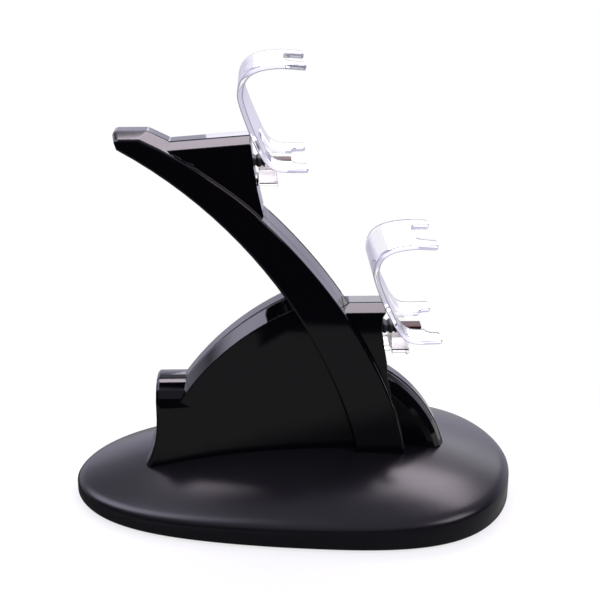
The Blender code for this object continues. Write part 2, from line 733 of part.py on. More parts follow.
def offset_open(line, distance):
    """Open line moved to the side by a distance."""
    p = np.array(line)
    along = np.gradient(p, axis=0)
    normal = np.stack([-along[:, 1], along[:, 0]], 1)
    normal /= np.linalg.norm(normal, axis=1)[:, None]
    return [tuple(float(c) for c in q) for q in p + normal * distance]


def make_holder(shop, mat, name, place, lean):
    """Clear hook with forked ends and a mounting block that clips into the tower."""
    outer = hook_profile()
    inner = offset_open(outer, HOOK_THICKNESS)
    x0, z0 = place
    taper = (HOOK_HALF_BOTTOM - HOOK_HALF_TOP) / HOOK_HEIGHT
    turn = (math.cos(lean), math.sin(lean))
    rings = []
    for side in (1, -1):
        ring = []
        for x, z in outer + inner[::-1]:
            half = HOOK_HALF_BOTTOM - taper * z
            ring.append((x0 + x * turn[0] - z * turn[1], side * half,
                         z0 + x * turn[1] + z * turn[0]))
        rings.append(ring)
    holder = shop.add(name, loft_mesh(name, rings), mat)
    bevel(holder, 0.0006, 2)
    block = box_mesh(f"{name}_block", (x0 - 0.0090, -BLOCK_HALF, z0 - BLOCK_HEIGHT + 0.001),
                     (x0 - 0.0019, BLOCK_HALF, z0 - 0.0001))
    half = BLOCK_HALF + LEDGE_STEP
    ledge = box_mesh(f"{name}_ledge", (x0 - 0.0086, -half, z0 - BLOCK_HEIGHT),
                     (x0 - 0.0019 + LEDGE_STEP, half, z0 - BLOCK_HEIGHT + LEDGE_HEIGHT))
    neck = box_mesh(f"{name}_neck", (x0 - 0.0052, -BLOCK_HALF, z0 - 0.001),
                    (x0 - 0.0014, BLOCK_HALF, z0 + 0.0030))
    tab_z = z0 - BLOCK_HEIGHT + TAB_HEIGHT / 2
    tab = box_mesh(f"{name}_tab", (x0 - 0.0146, -TAB_HALF, tab_z - TAB_HEIGHT / 2),
                   (x0 - 0.0085, TAB_HALF, tab_z + TAB_HEIGHT / 2))
    for mesh in (block, ledge, neck, tab):
        cut(holder, shop.add(mesh.name, mesh), "UNION")
    half = BOOT_HALF + GAP
    channel = box_mesh(f"{name}_channel", (x0 - 0.020, -half, z0 - BOOT_HEIGHT / 2 - GAP),
                       (x0 - 0.0060, half, z0 + BOOT_HEIGHT / 2 + GAP))
    half = PLUG_WIDTH / 2 + GAP
    high = PLUG_HEIGHT / 2 + GAP
    slot = box_mesh(f"{name}_slot", (x0 - 0.007, -half, z0 - high), (x0 + 0.012, half, z0 + high))
    window = box_mesh(f"{name}_window", (x0 - 0.0140, -WINDOW_HALF, z0 + PLUG_HEIGHT / 2),
                      (x0 + 0.0005, WINDOW_HALF, z0 + 0.0115))
    tools = [channel, slot, window]
    for end, (depth, z_low, z_high, z_mid) in enumerate((
            (FORK_DEPTH_TOP, 0.034, 0.046, 0.040), (FORK_DEPTH_BOTTOM, -0.004, 0.008, 0.001))):
        half = FORK_SLOT * (HOOK_HALF_BOTTOM - taper * z_mid)
        tip = outer[0][0] if end == 0 else outer[-1][0]
        shift = -z_mid * turn[1]
        tools.append(box_mesh(f"{name}_fork_{end}", (x0 + tip - depth + shift, -half, z0 + z_low),
                              (x0 + tip + 0.004, half, z0 + z_high)))
    for mesh in tools:
        cut(holder, shop.add(mesh.name, mesh))
    return holder


def make_plug(shop, metal, plastic, rubber, name, place):
    """Folded metal plug with a tongue inside, and a ribbed boot behind it."""
    x0, z0 = place
    start = x0 - 0.0060
    end = start + PLUG_REACH
    rings = []
    w = PLUG_WIDTH / 2
    h = PLUG_HEIGHT / 2
    section = ((-w, h), (w, h), (w, -h * 0.1), (w * 0.84, -h), (-w * 0.84, -h), (-w, -h * 0.1))
    for x in (start, end):
        rings.append([(x, y, z0 + z) for y, z in section])
    shell = shop.add(f"{name}_plug_shell", loft_mesh(f"{name}_plug_shell", rings), metal)
    inner = inset_line(section, PLUG_METAL)
    rings = [[(x, y, z0 + z) for y, z in inner] for x in (end - 0.0062, end + 0.001)]
    cut(shell, shop.add(f"{name}_plug_void", loft_mesh(f"{name}_plug_void", rings)))
    core = box_mesh(f"{name}_plug_core", (end - 0.0062 + GAP, -w * 0.74, z0 - h * 0.25),
                    (end - 0.0006, w * 0.74, z0 + h * 0.3))
    shop.add(f"{name}_plug_core", core, plastic)
    back = start - GAP - BOOT_LENGTH
    rings = []
    count = BOOT_RIBS * 2
    for k in range(count + 1):
        for part in (0, 1):
            deep = 0.84 if k % 2 else 1.0
            x = back + BOOT_LENGTH * (k + 0.9 * part) / (count + 0.9)
            hy = BOOT_HALF * (1 - (1 - deep) * 0.5)
            hz = BOOT_HEIGHT / 2 * deep
            c = 0.0008
            rings.append([(x, y, z0 + z) for y, z in (
                (-hy, hz - c), (-hy + c, hz), (hy - c, hz), (hy, hz - c),
                (hy, -hz + c), (hy - c, -hz), (-hy + c, -hz), (-hy, -hz + c))])
    shop.add(f"{name}_plug_boot", loft_mesh(f"{name}_plug_boot", rings), rubber)


def make_main_board(shop, mats):
    """Charging board on the rear posts, with the inlet at its rear edge and one chip."""
    rear = REAR_X + BODY_WALL + 0.0006
    low = (rear, -BOARD_HALF, BOARD_Z)
    high = (rear + BOARD_LENGTH, BOARD_HALF, BOARD_Z + BOARD_THICKNESS)
    shop.add("main_board", box_mesh("main_board", low, high), mats["board"])
    base = BOARD_Z + BOARD_THICKNESS + GAP
    z = base + INLET_HEIGHT / 2
    w = INLET_WIDTH / 2
    h = INLET_HEIGHT / 2
    section = ((-w, h), (w, h), (w, -h * 0.2), (w * 0.84, -h), (-w * 0.84, -h), (-w, -h * 0.2))
    back = REAR_X + 0.0004
    rings = [[(x, y, z + dz) for y, dz in section] for x in (back, back + INLET_DEPTH)]
    shell = shop.add("inlet_shell", loft_mesh("inlet_shell", rings), mats["metal"])
    inner = inset_line(section, PLUG_METAL)
    rings = [[(x, y, z + dz) for y, dz in inner] for x in (back - 0.001, back + INLET_DEPTH - 0.0004)]
    cut(shell, shop.add("inlet_void", loft_mesh("inlet_void", rings)))
    tongue = box_mesh("inlet_tongue", (back + 0.0008, -0.0018, z + h * 0.02),
                      (back + INLET_DEPTH - 0.0004 - GAP, 0.0018, z + h * 0.02 + 0.0006))
    shop.add("inlet_tongue", tongue, mats["plastic"])
    chip = box_mesh("charge_chip", (rear + 0.014, -0.0025, base), (rear + 0.019, 0.0025, base + 0.0015))
    shop.add("charge_chip", chip, mats["plastic"])


def make_led(shop, mats, name, place):
    """Small lamp board behind the holder's tab, inside the tower."""
    x, z = place
    tab_z = z - BLOCK_HEIGHT + TAB_HEIGHT / 2
    front = x - 0.0146 - 0.0024
    board = box_mesh(f"{name}_led_board", (front - 0.001, -0.005, tab_z - 0.0028),
                     (front, 0.005, tab_z + 0.0028))
    shop.add(f"{name}_led_board", board, mats["board"])
    led = rod_mesh(f"{name}_led", (front + GAP, 0.0, tab_z), 0.0018, LED_RADIUS, "X", 16,
                   LED_RADIUS * 0.7)
    shop.add(f"{name}_led", led, mats["led"])


def make_lead(shop, mat, name, points):
    curve = bpy.data.curves.new(name, "CURVE")
    curve.dimensions = "3D"
    curve.bevel_depth = LEAD_RADIUS
    curve.bevel_resolution = 2
    curve.use_fill_caps = True
    spline = curve.splines.new("POLY")
    spline.points.add(len(points) - 1)
    for point, place in zip(spline.points, points):
        point.co = (*place, 1.0)
    obj = bpy.data.objects.new(name, curve)
    curve.materials.append(mat)
    shop.parts.objects.link(obj)
    return obj


def smooth_round(shop, names):
    for obj in shop.parts.objects:
        if obj.type == "MESH" and any(key in obj.name for key in names):
            obj.data.shade_smooth()
            obj.data.set_sharp_from_angle(angle=math.radians(32))


def main():
    shop = Workshop("controller_charging_station")
    mats = {
        "gloss": material("gloss_black_plastic", (0.012, 0.012, 0.014), 0.08),
        "satin": material("satin_black_plastic", (0.020, 0.020, 0.023), 0.32),
        "clear": material("clear_plastic", (0.93, 0.94, 0.97), 0.05, 0.0, 0.95),
        "rubber": material("dark_rubber", (0.030, 0.030, 0.034), 0.65),
        "metal": material("plated_metal", (0.45, 0.38, 0.35), 0.28, 1.0),
        "steel": material("screw_steel", (0.55, 0.55, 0.56), 0.30, 1.0),
        "plastic": material("black_plastic", (0.030, 0.030, 0.030), 0.45),
        "board": material("green_board", (0.020, 0.170, 0.070), 0.50),
        "led": material("milky_lamp", (0.85, 0.86, 0.90), 0.25, 0.0, 0.4),
        "lead": material("lead_sheath", (0.35, 0.02, 0.02), 0.50),
    }
    make_base_cover(shop, mats["satin"])
    make_base_plate(shop, mats["plastic"])
    for i, place in enumerate(FEET):
        make_foot(shop, mats["rubber"], i + 1, place)
    for i, place in enumerate(BASE_SCREWS):
        make_screw(shop, mats["steel"], f"base_screw_{i + 1}", place, RIM_BOTTOM + 0.0001,
                   0.0065, 0.0006)
    make_shells(shop, mats["gloss"])
    for i, place in enumerate(BODY_SCREWS):
        under = dome_height(*place) - COVER_WALL - SCREW_HEAD_HEIGHT - GAP * 2.5
        make_screw(shop, mats["steel"], f"body_screw_{i + 1}", place, under, 0.0115,
                   SCREW_HEAD_HEIGHT)
    make_front_strip(shop, mats["gloss"])
    for name, place, lean in (("upper", UPPER_PLUG, 0.0), ("lower", LOWER_PLUG, LOWER_LEAN)):
        make_holder(shop, mats["clear"], f"{name}_holder", place, lean)
        make_plug(shop, mats["metal"], mats["plastic"], mats["rubber"], name, place)
        make_led(shop, mats, name, place)
    make_main_board(shop, mats)
    board_top = BOARD_Z + BOARD_THICKNESS + GAP
    x, z = UPPER_PLUG
    make_lead(shop, mats["lead"], "upper_lead", (
        (x - 0.0170, 0.0, z), (x - 0.021, 0.001, z), (x - 0.024, 0.003, z - 0.003),
        (x - 0.022, 0.0036, z - 0.010), (-0.017, 0.0036, 0.1165), (-0.005, 0.0036, 0.102),
        (0.006, 0.0036, 0.087), (0.011, 0.0036, 0.072), (0.002, 0.0036, 0.056),
        (-0.012, 0.0036, 0.046), (-0.028, 0.0036, board_top + 0.006),
        (-0.030, 0.0036, board_top + LEAD_RADIUS)))
    x, z = LOWER_PLUG
    make_lead(shop, mats["lead"], "lower_lead", (
        (x - 0.0170, 0.0, z), (x - 0.020, -0.0005, z), (x - 0.024, -0.001, z - 0.003),
        (0.014, -0.001, 0.054), (0.002, -0.001, 0.047), (-0.012, -0.001, 0.040),
        (-0.026, -0.001, board_top + 0.005), (-0.030, -0.001, board_top + LEAD_RADIUS)))
    smooth_round(shop, ("cover", "foot", "screw", "shell", "holder", "led"))


main()
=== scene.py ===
# %% [markdown]
# # A charging station for two game controllers
#
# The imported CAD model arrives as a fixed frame: every solid already stands where it
# belongs, in metres, with +X to the front, where the controllers hang, and +Z up. What is left
# is the look: gloss on the tower, satin on the base, clear hooks, metal plugs, and the
# soft light of a product picture. A solid whose shape is already right keeps its mesh and gets a
# material. A form whose curve should be finer is worked out again here, from a formula, and
# then stands for its solid.

import json
import math

import bmesh
import bpy
import numpy as np
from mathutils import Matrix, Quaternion, Vector


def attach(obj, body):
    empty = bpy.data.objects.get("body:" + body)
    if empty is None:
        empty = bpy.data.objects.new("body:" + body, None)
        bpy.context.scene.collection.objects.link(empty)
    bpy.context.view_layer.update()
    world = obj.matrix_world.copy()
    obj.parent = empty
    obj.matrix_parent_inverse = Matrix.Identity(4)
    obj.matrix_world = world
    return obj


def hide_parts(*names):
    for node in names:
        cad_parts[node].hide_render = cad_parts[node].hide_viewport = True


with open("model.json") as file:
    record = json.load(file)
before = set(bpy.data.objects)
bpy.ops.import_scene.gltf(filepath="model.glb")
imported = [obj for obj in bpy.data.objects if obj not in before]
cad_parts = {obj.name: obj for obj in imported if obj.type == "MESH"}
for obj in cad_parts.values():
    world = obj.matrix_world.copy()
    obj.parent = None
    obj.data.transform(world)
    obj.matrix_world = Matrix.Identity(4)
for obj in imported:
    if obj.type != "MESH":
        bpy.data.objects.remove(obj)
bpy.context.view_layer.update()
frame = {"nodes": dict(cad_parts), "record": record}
nodes = frame["nodes"]
print("solids in the frame:", len(nodes))

# %% [markdown]
# ## Camera
#
# A long lens flattens a product: the far end of the base is hardly smaller than the near
# one. 72 mm on a 36 mm sensor, half a metre away, looks down by 20 degrees, which shows the
# ridge of the tower as a pale band above its dark side.


# %% Camera
def add_camera(place, target, lens):
    """Camera at place, turned so that its axis runs through target."""
    data = bpy.data.cameras.new("camera")
    data.lens = lens
    data.sensor_width = 36.0
    camera = bpy.data.objects.new("camera", data)
    camera.location = place
    camera.rotation_euler = (Vector(target) - Vector(place)).to_track_quat("-Z", "Y").to_euler()
    bpy.context.scene.collection.objects.link(camera)
    bpy.context.scene.camera = camera
    return camera


CAMERA_PLACE = (-0.01208, -0.46008, 0.25147)
CAMERA_TARGET = (0.0030, 0.0, 0.08337)
camera = add_camera(CAMERA_PLACE, CAMERA_TARGET, 72.0)
bpy.context.scene.view_settings.view_transform = "Standard"
print("camera height in mm:", round(camera.location.z * 1000, 1))

# %% [markdown]
# ## Light
#
# Black gloss shows hardly any colour of its own: it is drawn by what it mirrors. So the
# light is planned as shapes to be mirrored, each at the direction where one kind of face
# looks. A long panel overhead, a little behind the object, makes the bevels along the ridges
# pale. A low one farther behind makes the flat ridges grey, and one at the right draws the thin
# light lines on the edges that face up and to the front. The soft band that the back of the
# hump mirrors is part of the world below.


# %% Lamps
MIDDLE = (0.0, 0.0, 0.08)
LAVENDER = (1.0, 0.88, 0.98)
COOL = (0.95, 0.93, 1.0)


def add_panel(name, place, target, width, height, radiance, colour, roll=0.0):
    """Rectangular lamp aimed at target; its watts are radiance * pi * area."""
    data = bpy.data.lights.new(name, "AREA")
    data.shape = "RECTANGLE"
    data.size = width
    data.size_y = height
    data.energy = radiance * math.pi * width * height
    data.color = colour
    lamp = bpy.data.objects.new(name, data)
    lamp.location = place
    aim = (Vector(target) - Vector(place)).to_track_quat("-Z", "Y")
    lamp.rotation_euler = (aim @ Quaternion((0.0, 0.0, 1.0), math.radians(roll))).to_euler()
    bpy.context.scene.collection.objects.link(lamp)
    return lamp


def around(azimuth, elevation, distance):
    """Place seen from the object's middle; azimuth 0 is +Y, 90 is +X."""
    a = math.radians(azimuth)
    e = math.radians(elevation)
    return (distance * math.sin(a) * math.cos(e), distance * math.cos(a) * math.cos(e),
            MIDDLE[2] + distance * math.sin(e))


lamps = [
    add_panel("roof_panel", around(10, 53.2, 1.2), MIDDLE, 1.08, 0.494, 5.7, LAVENDER, 12.0),
    add_panel("back_panel", around(15, 20.3, 1.3), MIDDLE, 0.96, 0.24, 2.0, COOL),
    add_panel("right_panel", around(112, 42, 1.2), MIDDLE, 0.60, 0.45, 4.0, LAVENDER),
]
print("lamps:", [lamp.name for lamp in lamps])

# %% [markdown]
# ## World and floor
#
# The world is white for the camera and through the clear plastic. What the gloss mirrors is a
# studio that fades from white behind the object to nearly black around the camera, which is
# why the sides towards the camera stay black. Matt surfaces get an even light from all
# round, so that their colours come out as written. The floor is a white sheet with a soft
# shadow. The gloss mirrors it as a dim glowing sheet, darkest along a slanted line in front of
# the base, where that dark band is a painted shadow of the base, and brighter towards its far edge.


# %% Node helpers
def node_tree(owner):
    """Emptied node tree of a material or a world, with its nodes and its links."""
    owner.use_nodes = True
    tree = owner.node_tree
    tree.nodes.clear()
    return tree, tree.nodes, tree.links


def ramp_node(tree, value, start, end, low, high):
    """Smooth step from low to high while the value goes from start to end."""
    ramp = tree.nodes.new("ShaderNodeMapRange")
    ramp.interpolation_type = "SMOOTHSTEP"
    for label, number in zip(("From Min", "From Max", "To Min", "To Max"),
                             (start, end, low, high)):
        ramp.inputs[label].default_value = number
    tree.links.new(value, ramp.inputs["Value"])
    return ramp.outputs["Result"]


def either_node(tree, factor, first, second):
    """Number that is first at factor 0 and second at factor 1."""
    mix = tree.nodes.new("ShaderNodeMix")
    for socket, value in zip(mix.inputs[:4], (factor, None, first, second)):
        if isinstance(value, float):
            socket.default_value = value
        elif value is not None:
            tree.links.new(value, socket)
    return mix.outputs[0]


def math_node(tree, operation, first, second):
    """Result of one Math node; first and second are each a number or a socket."""
    node = tree.nodes.new("ShaderNodeMath")
    node.operation = operation
    for socket, value in zip(node.inputs, (first, second)):
        if isinstance(value, float):
            socket.default_value = value
        else:
            tree.links.new(value, socket)
    return node.outputs[0]


def along_node(tree, vector, direction):
    """How far a unit vector points along a direction: their dot product."""
    node = tree.nodes.new("ShaderNodeVectorMath")
    node.operation = "DOT_PRODUCT"
    node.inputs[1].default_value = direction
    tree.links.new(vector, node.inputs[0])
    return node.outputs["Value"]


# %% World
# Ramps of the studio that gloss mirrors: from and to in the direction, light at both ends
STUDIO_AXIS = (0.06, 0.998, 0.0)
STUDIO_BEHIND = (0.10, 0.92, 0.02, 1.1)
STUDIO_LOW = (-0.12, 0.10, 0.62, 1.0)
STUDIO_HIGH = (0.22, 0.50, 1.0, 0.40)
STUDIO_TOP = (0.40, 0.95, 0.0, 0.5)
STUDIO_TINT = (0.92, 0.89, 1.10, 1.0)
MATT_LEVEL = 0.85

# The back of the hump is an arc, so all it mirrors lies on one great circle of the world
BAND_CENTRE = (-0.621, 0.166, 0.766)
BAND_SIDE = (-0.659, -0.662, -0.355)
BAND_ALONG = (0.80, 1.0, 0.0, 4.2)
BAND_ACROSS = (0.06, 0.30, 1.0, 0.0)


def build_world():
    """Camera and glass see 1.0, matt faces MATT_LEVEL, and gloss a studio that fades to -Y."""
    world = bpy.data.worlds.new("studio")
    bpy.context.scene.world = world
    tree, made, links = node_tree(world)
    out = made.new("ShaderNodeOutputWorld")
    background = made.new("ShaderNodeBackground")
    path = made.new("ShaderNodeLightPath")
    coords = made.new("ShaderNodeTexCoord")
    looked_at = coords.outputs["Generated"]
    split = made.new("ShaderNodeSeparateXYZ")
    links.new(looked_at, split.inputs[0])
    z = split.outputs["Z"]
    behind = ramp_node(tree, along_node(tree, looked_at, STUDIO_AXIS), *STUDIO_BEHIND)
    low = ramp_node(tree, z, *STUDIO_LOW)
    high = ramp_node(tree, z, *STUDIO_HIGH)
    top = ramp_node(tree, z, *STUDIO_TOP)
    centre = ramp_node(tree, along_node(tree, looked_at, BAND_CENTRE), *BAND_ALONG)
    aside = math_node(tree, "ABSOLUTE", along_node(tree, looked_at, BAND_SIDE), 0.0)
    band = math_node(tree, "MULTIPLY", centre, ramp_node(tree, aside, *BAND_ACROSS))
    studio = math_node(tree, "MULTIPLY", behind, math_node(tree, "MULTIPLY", low, high))
    studio = math_node(tree, "ADD", studio, math_node(tree, "ADD", top, band))
    level = either_node(tree, path.outputs["Is Diffuse Ray"], studio, MATT_LEVEL)
    seen = math_node(tree, "MAXIMUM", path.outputs["Is Camera Ray"],
                     path.outputs["Is Transmission Ray"])
    links.new(either_node(tree, seen, level, 1.0), background.inputs["Strength"])
    tint = made.new("ShaderNodeMix")
    tint.data_type = "RGBA"
    tint.inputs[6].default_value = STUDIO_TINT
    tint.inputs[7].default_value = (1.0, 1.0, 1.0, 1.0)
    links.new(seen, tint.inputs["Factor"])
    links.new(tint.outputs[2], background.inputs["Color"])
    links.new(background.outputs[0], out.inputs["Surface"])
    return world


build_world()
print("world:", bpy.context.scene.world.name)

# %% Floor
FLOOR_HALF = (0.34, 0.29)
FLOOR_RIM = (0.30, 0.55, 0.72, 1.0)
SHEET_SLANT = (0.6, 1.0, 0.0)
# The two sheet ramps leave a dim band in front of the base: a painted shadow on the mirrored floor
SHEET_FAR = (-0.06, 0.18, 0.06, 0.75)
SHEET_NEAR = (-0.12, -0.075, 0.16, 0.0)


def build_floor(rings=12, steps=96):
    """Elliptic floor: x = a r cos t, y = b r sin t, on a grid of rings."""
    t = np.linspace(0.0, 2 * np.pi, steps, endpoint=False)
    r = np.linspace(0.02, 1.0, rings)[:, None]
    x = FLOOR_HALF[0] * r * np.cos(t)
    y = FLOOR_HALF[1] * r * np.sin(t)
    points = np.stack([x, y, np.zeros_like(x)], axis=-1).reshape(-1, 3)
    i = np.arange(rings - 1)[:, None]
    j = np.arange(steps)[None, :]
    k = (j + 1) % steps
    quads = np.stack([i * steps + j, (i + 1) * steps + j, (i + 1) * steps + k, i * steps + k], -1)
    mesh = bpy.data.meshes.new("floor")
    mesh.from_pydata(points.tolist(), [], quads.reshape(-1, 4).tolist() + [list(range(steps))])
    floor = bpy.data.objects.new("floor", mesh)
    floor.location.z = -0.0002
    bpy.context.scene.collection.objects.link(floor)
    mesh.materials.append(floor_material())
    return floor


def floor_material():
    """Matt white under a white glow, which takes over at the rim and behind glass.

    Gloss mirrors a glowing sheet whose light depends on how far a place lies along SHEET_SLANT.
    Its dim band just in front of the base is a painted shadow of the base.
    """
    mat = bpy.data.materials.new("white_floor")
    tree, made, links = node_tree(mat)
    out = made.new("ShaderNodeOutputMaterial")
    matt = made.new("ShaderNodeBsdfDiffuse")
    matt.inputs["Color"].default_value = (0.97, 0.97, 0.97, 1.0)
    glow = made.new("ShaderNodeEmission")
    coords = made.new("ShaderNodeTexCoord")
    squash = made.new("ShaderNodeVectorMath")
    squash.operation = "MULTIPLY"
    squash.inputs[1].default_value = (1 / FLOOR_HALF[0], 1 / FLOOR_HALF[1], 0.0)
    far = made.new("ShaderNodeVectorMath")
    far.operation = "LENGTH"
    path = made.new("ShaderNodeLightPath")
    mix = made.new("ShaderNodeMixShader")
    links.new(coords.outputs["Object"], squash.inputs[0])
    links.new(squash.outputs[0], far.inputs[0])
    slant = along_node(tree, coords.outputs["Object"], SHEET_SLANT)
    rim = ramp_node(tree, far.outputs["Value"], *FLOOR_RIM)
    seen = math_node(tree, "MULTIPLY", path.outputs["Is Camera Ray"], rim)
    through = path.outputs["Is Transmission Ray"]
    other = math_node(tree, "MAXIMUM", path.outputs["Is Glossy Ray"], through)
    mirrored = math_node(tree, "SUBTRACT", path.outputs["Is Glossy Ray"], through)
    links.new(math_node(tree, "MAXIMUM", seen, other), mix.inputs[0])
    # Painted shadow: the mirrored sheet dims just in front of the base
    sheet = math_node(tree, "ADD", ramp_node(tree, slant, *SHEET_FAR),
                      ramp_node(tree, slant, *SHEET_NEAR))
    links.new(either_node(tree, mirrored, 1.0, sheet), glow.inputs["Strength"])
    links.new(matt.outputs[0], mix.inputs[1])
    links.new(glow.outputs[0], mix.inputs[2])
    links.new(mix.outputs[0], out.inputs["Surface"])
    return mat


floor = build_floor()
print("floor half axes in mm:", [round(v * 1000) for v in FLOOR_HALF])

# %% [markdown]
# ## Small effects that several finishes share
#
# Moulded plastic is never quite flat. A glossy wall has slow waves, a satin one has a fine
# grain, both carry a little dust, and metal has hairlines from handling. The two halves of the
# tower meet in a fine groove. Each effect is a shader node group, made once, which puts out a
# height or a mask. Every material sets its own amount.


# %% Node groups
def new_group(name, inputs, outputs):
    """Empty shader group with float inputs (name, value), float outputs and coordinates."""
    group = bpy.data.node_groups.new(name, "ShaderNodeTree")
    for label, value in inputs:
        socket = group.interface.new_socket(label, in_out="INPUT", socket_type="NodeSocketFloat")
        socket.default_value = value
    for label in outputs:
        group.interface.new_socket(label, in_out="OUTPUT", socket_type="NodeSocketFloat")
    source = group.nodes.new("NodeGroupInput")
    sink = group.nodes.new("NodeGroupOutput")
    coords = group.nodes.new("ShaderNodeTexCoord")
    return group, source, sink, coords


def wave_group():
    """Slow waves of a cooled moulding: two noises, one at 2.7 times the scale of the other."""
    group, source, sink, coords = new_group("moulding_waves", [("Scale", 22.0)], ["Height"])
    slow = group.nodes.new("ShaderNodeTexNoise")
    fine = group.nodes.new("ShaderNodeTexNoise")
    for noise, factor in ((slow, 1.0), (fine, 2.7)):
        noise.inputs["Detail"].default_value = 1.0
        group.links.new(coords.outputs["Object"], noise.inputs["Vector"])
        group.links.new(math_node(group, "MULTIPLY", source.outputs["Scale"], factor),
                        noise.inputs["Scale"])
    mixed = math_node(group, "MULTIPLY", fine.outputs["Fac"], 0.3)
    group.links.new(math_node(group, "ADD", slow.outputs["Fac"], mixed), sink.inputs["Height"])
    return group


def grain_group():
    """Spark-eroded grain: fine noise, and a patchy mask that varies the roughness."""
    group, source, sink, coords = new_group("fine_grain", [("Scale", 2600.0)],
                                            ["Height", "Patches"])
    noise = group.nodes.new("ShaderNodeTexNoise")
    noise.inputs["Detail"].default_value = 3.0
    group.links.new(coords.outputs["Object"], noise.inputs["Vector"])
    group.links.new(source.outputs["Scale"], noise.inputs["Scale"])
    group.links.new(noise.outputs["Fac"], sink.inputs["Height"])
    patches = group.nodes.new("ShaderNodeTexNoise")
    patches.inputs["Scale"].default_value = 38.0
    patches.inputs["Detail"].default_value = 4.0
    group.links.new(coords.outputs["Object"], patches.inputs["Vector"])
    group.links.new(patches.outputs["Fac"], sink.inputs["Patches"])
    return group


def dust_group():
    """Specks: cells of a Voronoi pattern, kept only close to each cell's point."""
    group, source, sink, coords = new_group("dust_specks", [("Scale", 420.0), ("Size", 0.10)],
                                            ["Mask"])
    cells = group.nodes.new("ShaderNodeTexVoronoi")
    group.links.new(coords.outputs["Object"], cells.inputs["Vector"])
    group.links.new(source.outputs["Scale"], cells.inputs["Scale"])
    near = math_node(group, "LESS_THAN", cells.outputs["Distance"], source.outputs["Size"])
    sparse = group.nodes.new("ShaderNodeTexNoise")
    sparse.inputs["Scale"].default_value = 60.0
    group.links.new(coords.outputs["Object"], sparse.inputs["Vector"])
    some = math_node(group, "GREATER_THAN", sparse.outputs["Fac"], 0.56)
    group.links.new(math_node(group, "MULTIPLY", near, some), sink.inputs["Mask"])
    return group


def hairline_group():
    """Hairlines: noise stretched forty times along one slanted direction, cut to thin bands."""
    group, source, sink, coords = new_group("hairlines", [("Scale", 30.0)], ["Mask"])
    turn = group.nodes.new("ShaderNodeMapping")
    turn.inputs["Rotation"].default_value = (0.3, 0.7, 0.2)
    turn.inputs["Scale"].default_value = (1.0, 40.0, 40.0)
    noise = group.nodes.new("ShaderNodeTexNoise")
    noise.inputs["Detail"].default_value = 1.0
    group.links.new(coords.outputs["Object"], turn.inputs["Vector"])
    group.links.new(turn.outputs["Vector"], noise.inputs["Vector"])
    group.links.new(source.outputs["Scale"], noise.inputs["Scale"])
    centred = math_node(group, "SUBTRACT", noise.outputs["Fac"], 0.5)
    band = math_node(group, "ABSOLUTE", centred, 0.0)
    group.links.new(math_node(group, "LESS_THAN", band, 0.004), sink.inputs["Mask"])
    return group


def groove_group():
    """Groove along the plane y = Place: height |y - Place| / Half, up to 1."""
    group, source, sink, coords = new_group("seam_groove", [("Place", -0.004), ("Half", 0.0006)],
                                            ["Height"])
    split = group.nodes.new("ShaderNodeSeparateXYZ")
    group.links.new(coords.outputs["Object"], split.inputs[0])
    away = math_node(group, "SUBTRACT", split.outputs["Y"], source.outputs["Place"])
    away = math_node(group, "ABSOLUTE", away, 0.0)
    away = math_node(group, "DIVIDE", away, source.outputs["Half"])
    group.links.new(math_node(group, "MINIMUM", away, 1.0), sink.inputs["Height"])
    return group


WAVES = wave_group()
GROOVE = groove_group()
GRAIN = grain_group()
DUST = dust_group()
HAIRLINES = hairline_group()
print("shared effects:", [g.name for g in (WAVES, GROOVE, GRAIN, DUST, HAIRLINES)])

# %% [markdown]
# ## Finishes
#
# Each finish is one Principled shader. Constants go straight on its sockets. Only what
# varies over the surface is linked: a height into Bump, or a mask into roughness or
# colour.


# %% A finish, step by step
def finish_material(name, colour, roughness, metallic=0.0, **sockets):
    """Material with one Principled shader; an underscore in a socket's name is a space."""
    mat = bpy.data.materials.new(name)
    tree, made, links = node_tree(mat)
    out = made.new("ShaderNodeOutputMaterial")
    shader = made.new("ShaderNodeBsdfPrincipled")
    shader.inputs["Base Color"].default_value = (*colour, 1.0)
    shader.inputs["Roughness"].default_value = roughness
    shader.inputs["Metallic"].default_value = metallic
    for label, value in sockets.items():
        shader.inputs[label.replace("_", " ")].default_value = value
    links.new(shader.outputs["BSDF"], out.inputs["Surface"])
    mat.diffuse_color = (*colour, 1.0)
    return mat, tree, shader


def place_group(tree, group, **values):
    """A shared effect placed in a material, with the material's own values."""
    node = tree.nodes.new("ShaderNodeGroup")
    node.node_tree = group
    for label, value in values.items():
        node.inputs[label].default_value = value
    return node


def add_bump(tree, shader, height, strength, distance):
    """Height through Bump into Normal, on top of whatever bends the normal already."""
    bump = tree.nodes.new("ShaderNodeBump")
    bump.inputs["Strength"].default_value = strength
    bump.inputs["Distance"].default_value = distance
    tree.links.new(height, bump.inputs["Height"])
    if shader.inputs["Normal"].is_linked:
        tree.links.new(shader.inputs["Normal"].links[0].from_socket, bump.inputs["Normal"])
    tree.links.new(bump.outputs["Normal"], shader.inputs["Normal"])


def add_roughness(tree, shader, mask, low, high):
    """Roughness low where the mask is 0 and high where it is 1."""
    span = tree.nodes.new("ShaderNodeMapRange")
    span.inputs["To Min"].default_value = low
    span.inputs["To Max"].default_value = high
    tree.links.new(mask, span.inputs["Value"])
    tree.links.new(span.outputs["Result"], shader.inputs["Roughness"])


def add_tint(tree, shader, mask, colour, other):
    """Base colour that turns from colour to other as the mask goes from 0 to 1."""
    mix = tree.nodes.new("ShaderNodeMix")
    mix.data_type = "RGBA"
    mix.inputs[6].default_value = (*colour, 1.0)
    mix.inputs[7].default_value = (*other, 1.0)
    tree.links.new(mask, mix.inputs["Factor"])
    tree.links.new(mix.outputs[2], shader.inputs["Base Color"])


# %% Black plastics
GLOSS_COLOUR = (0.0014, 0.0012, 0.0020)
GLOSS_ROUGHNESS = 0.05
SATIN_COLOUR = (0.0052, 0.0048, 0.0062)
SEAM_PLACE = -0.004
EDGE_RADIUS = 0.0007


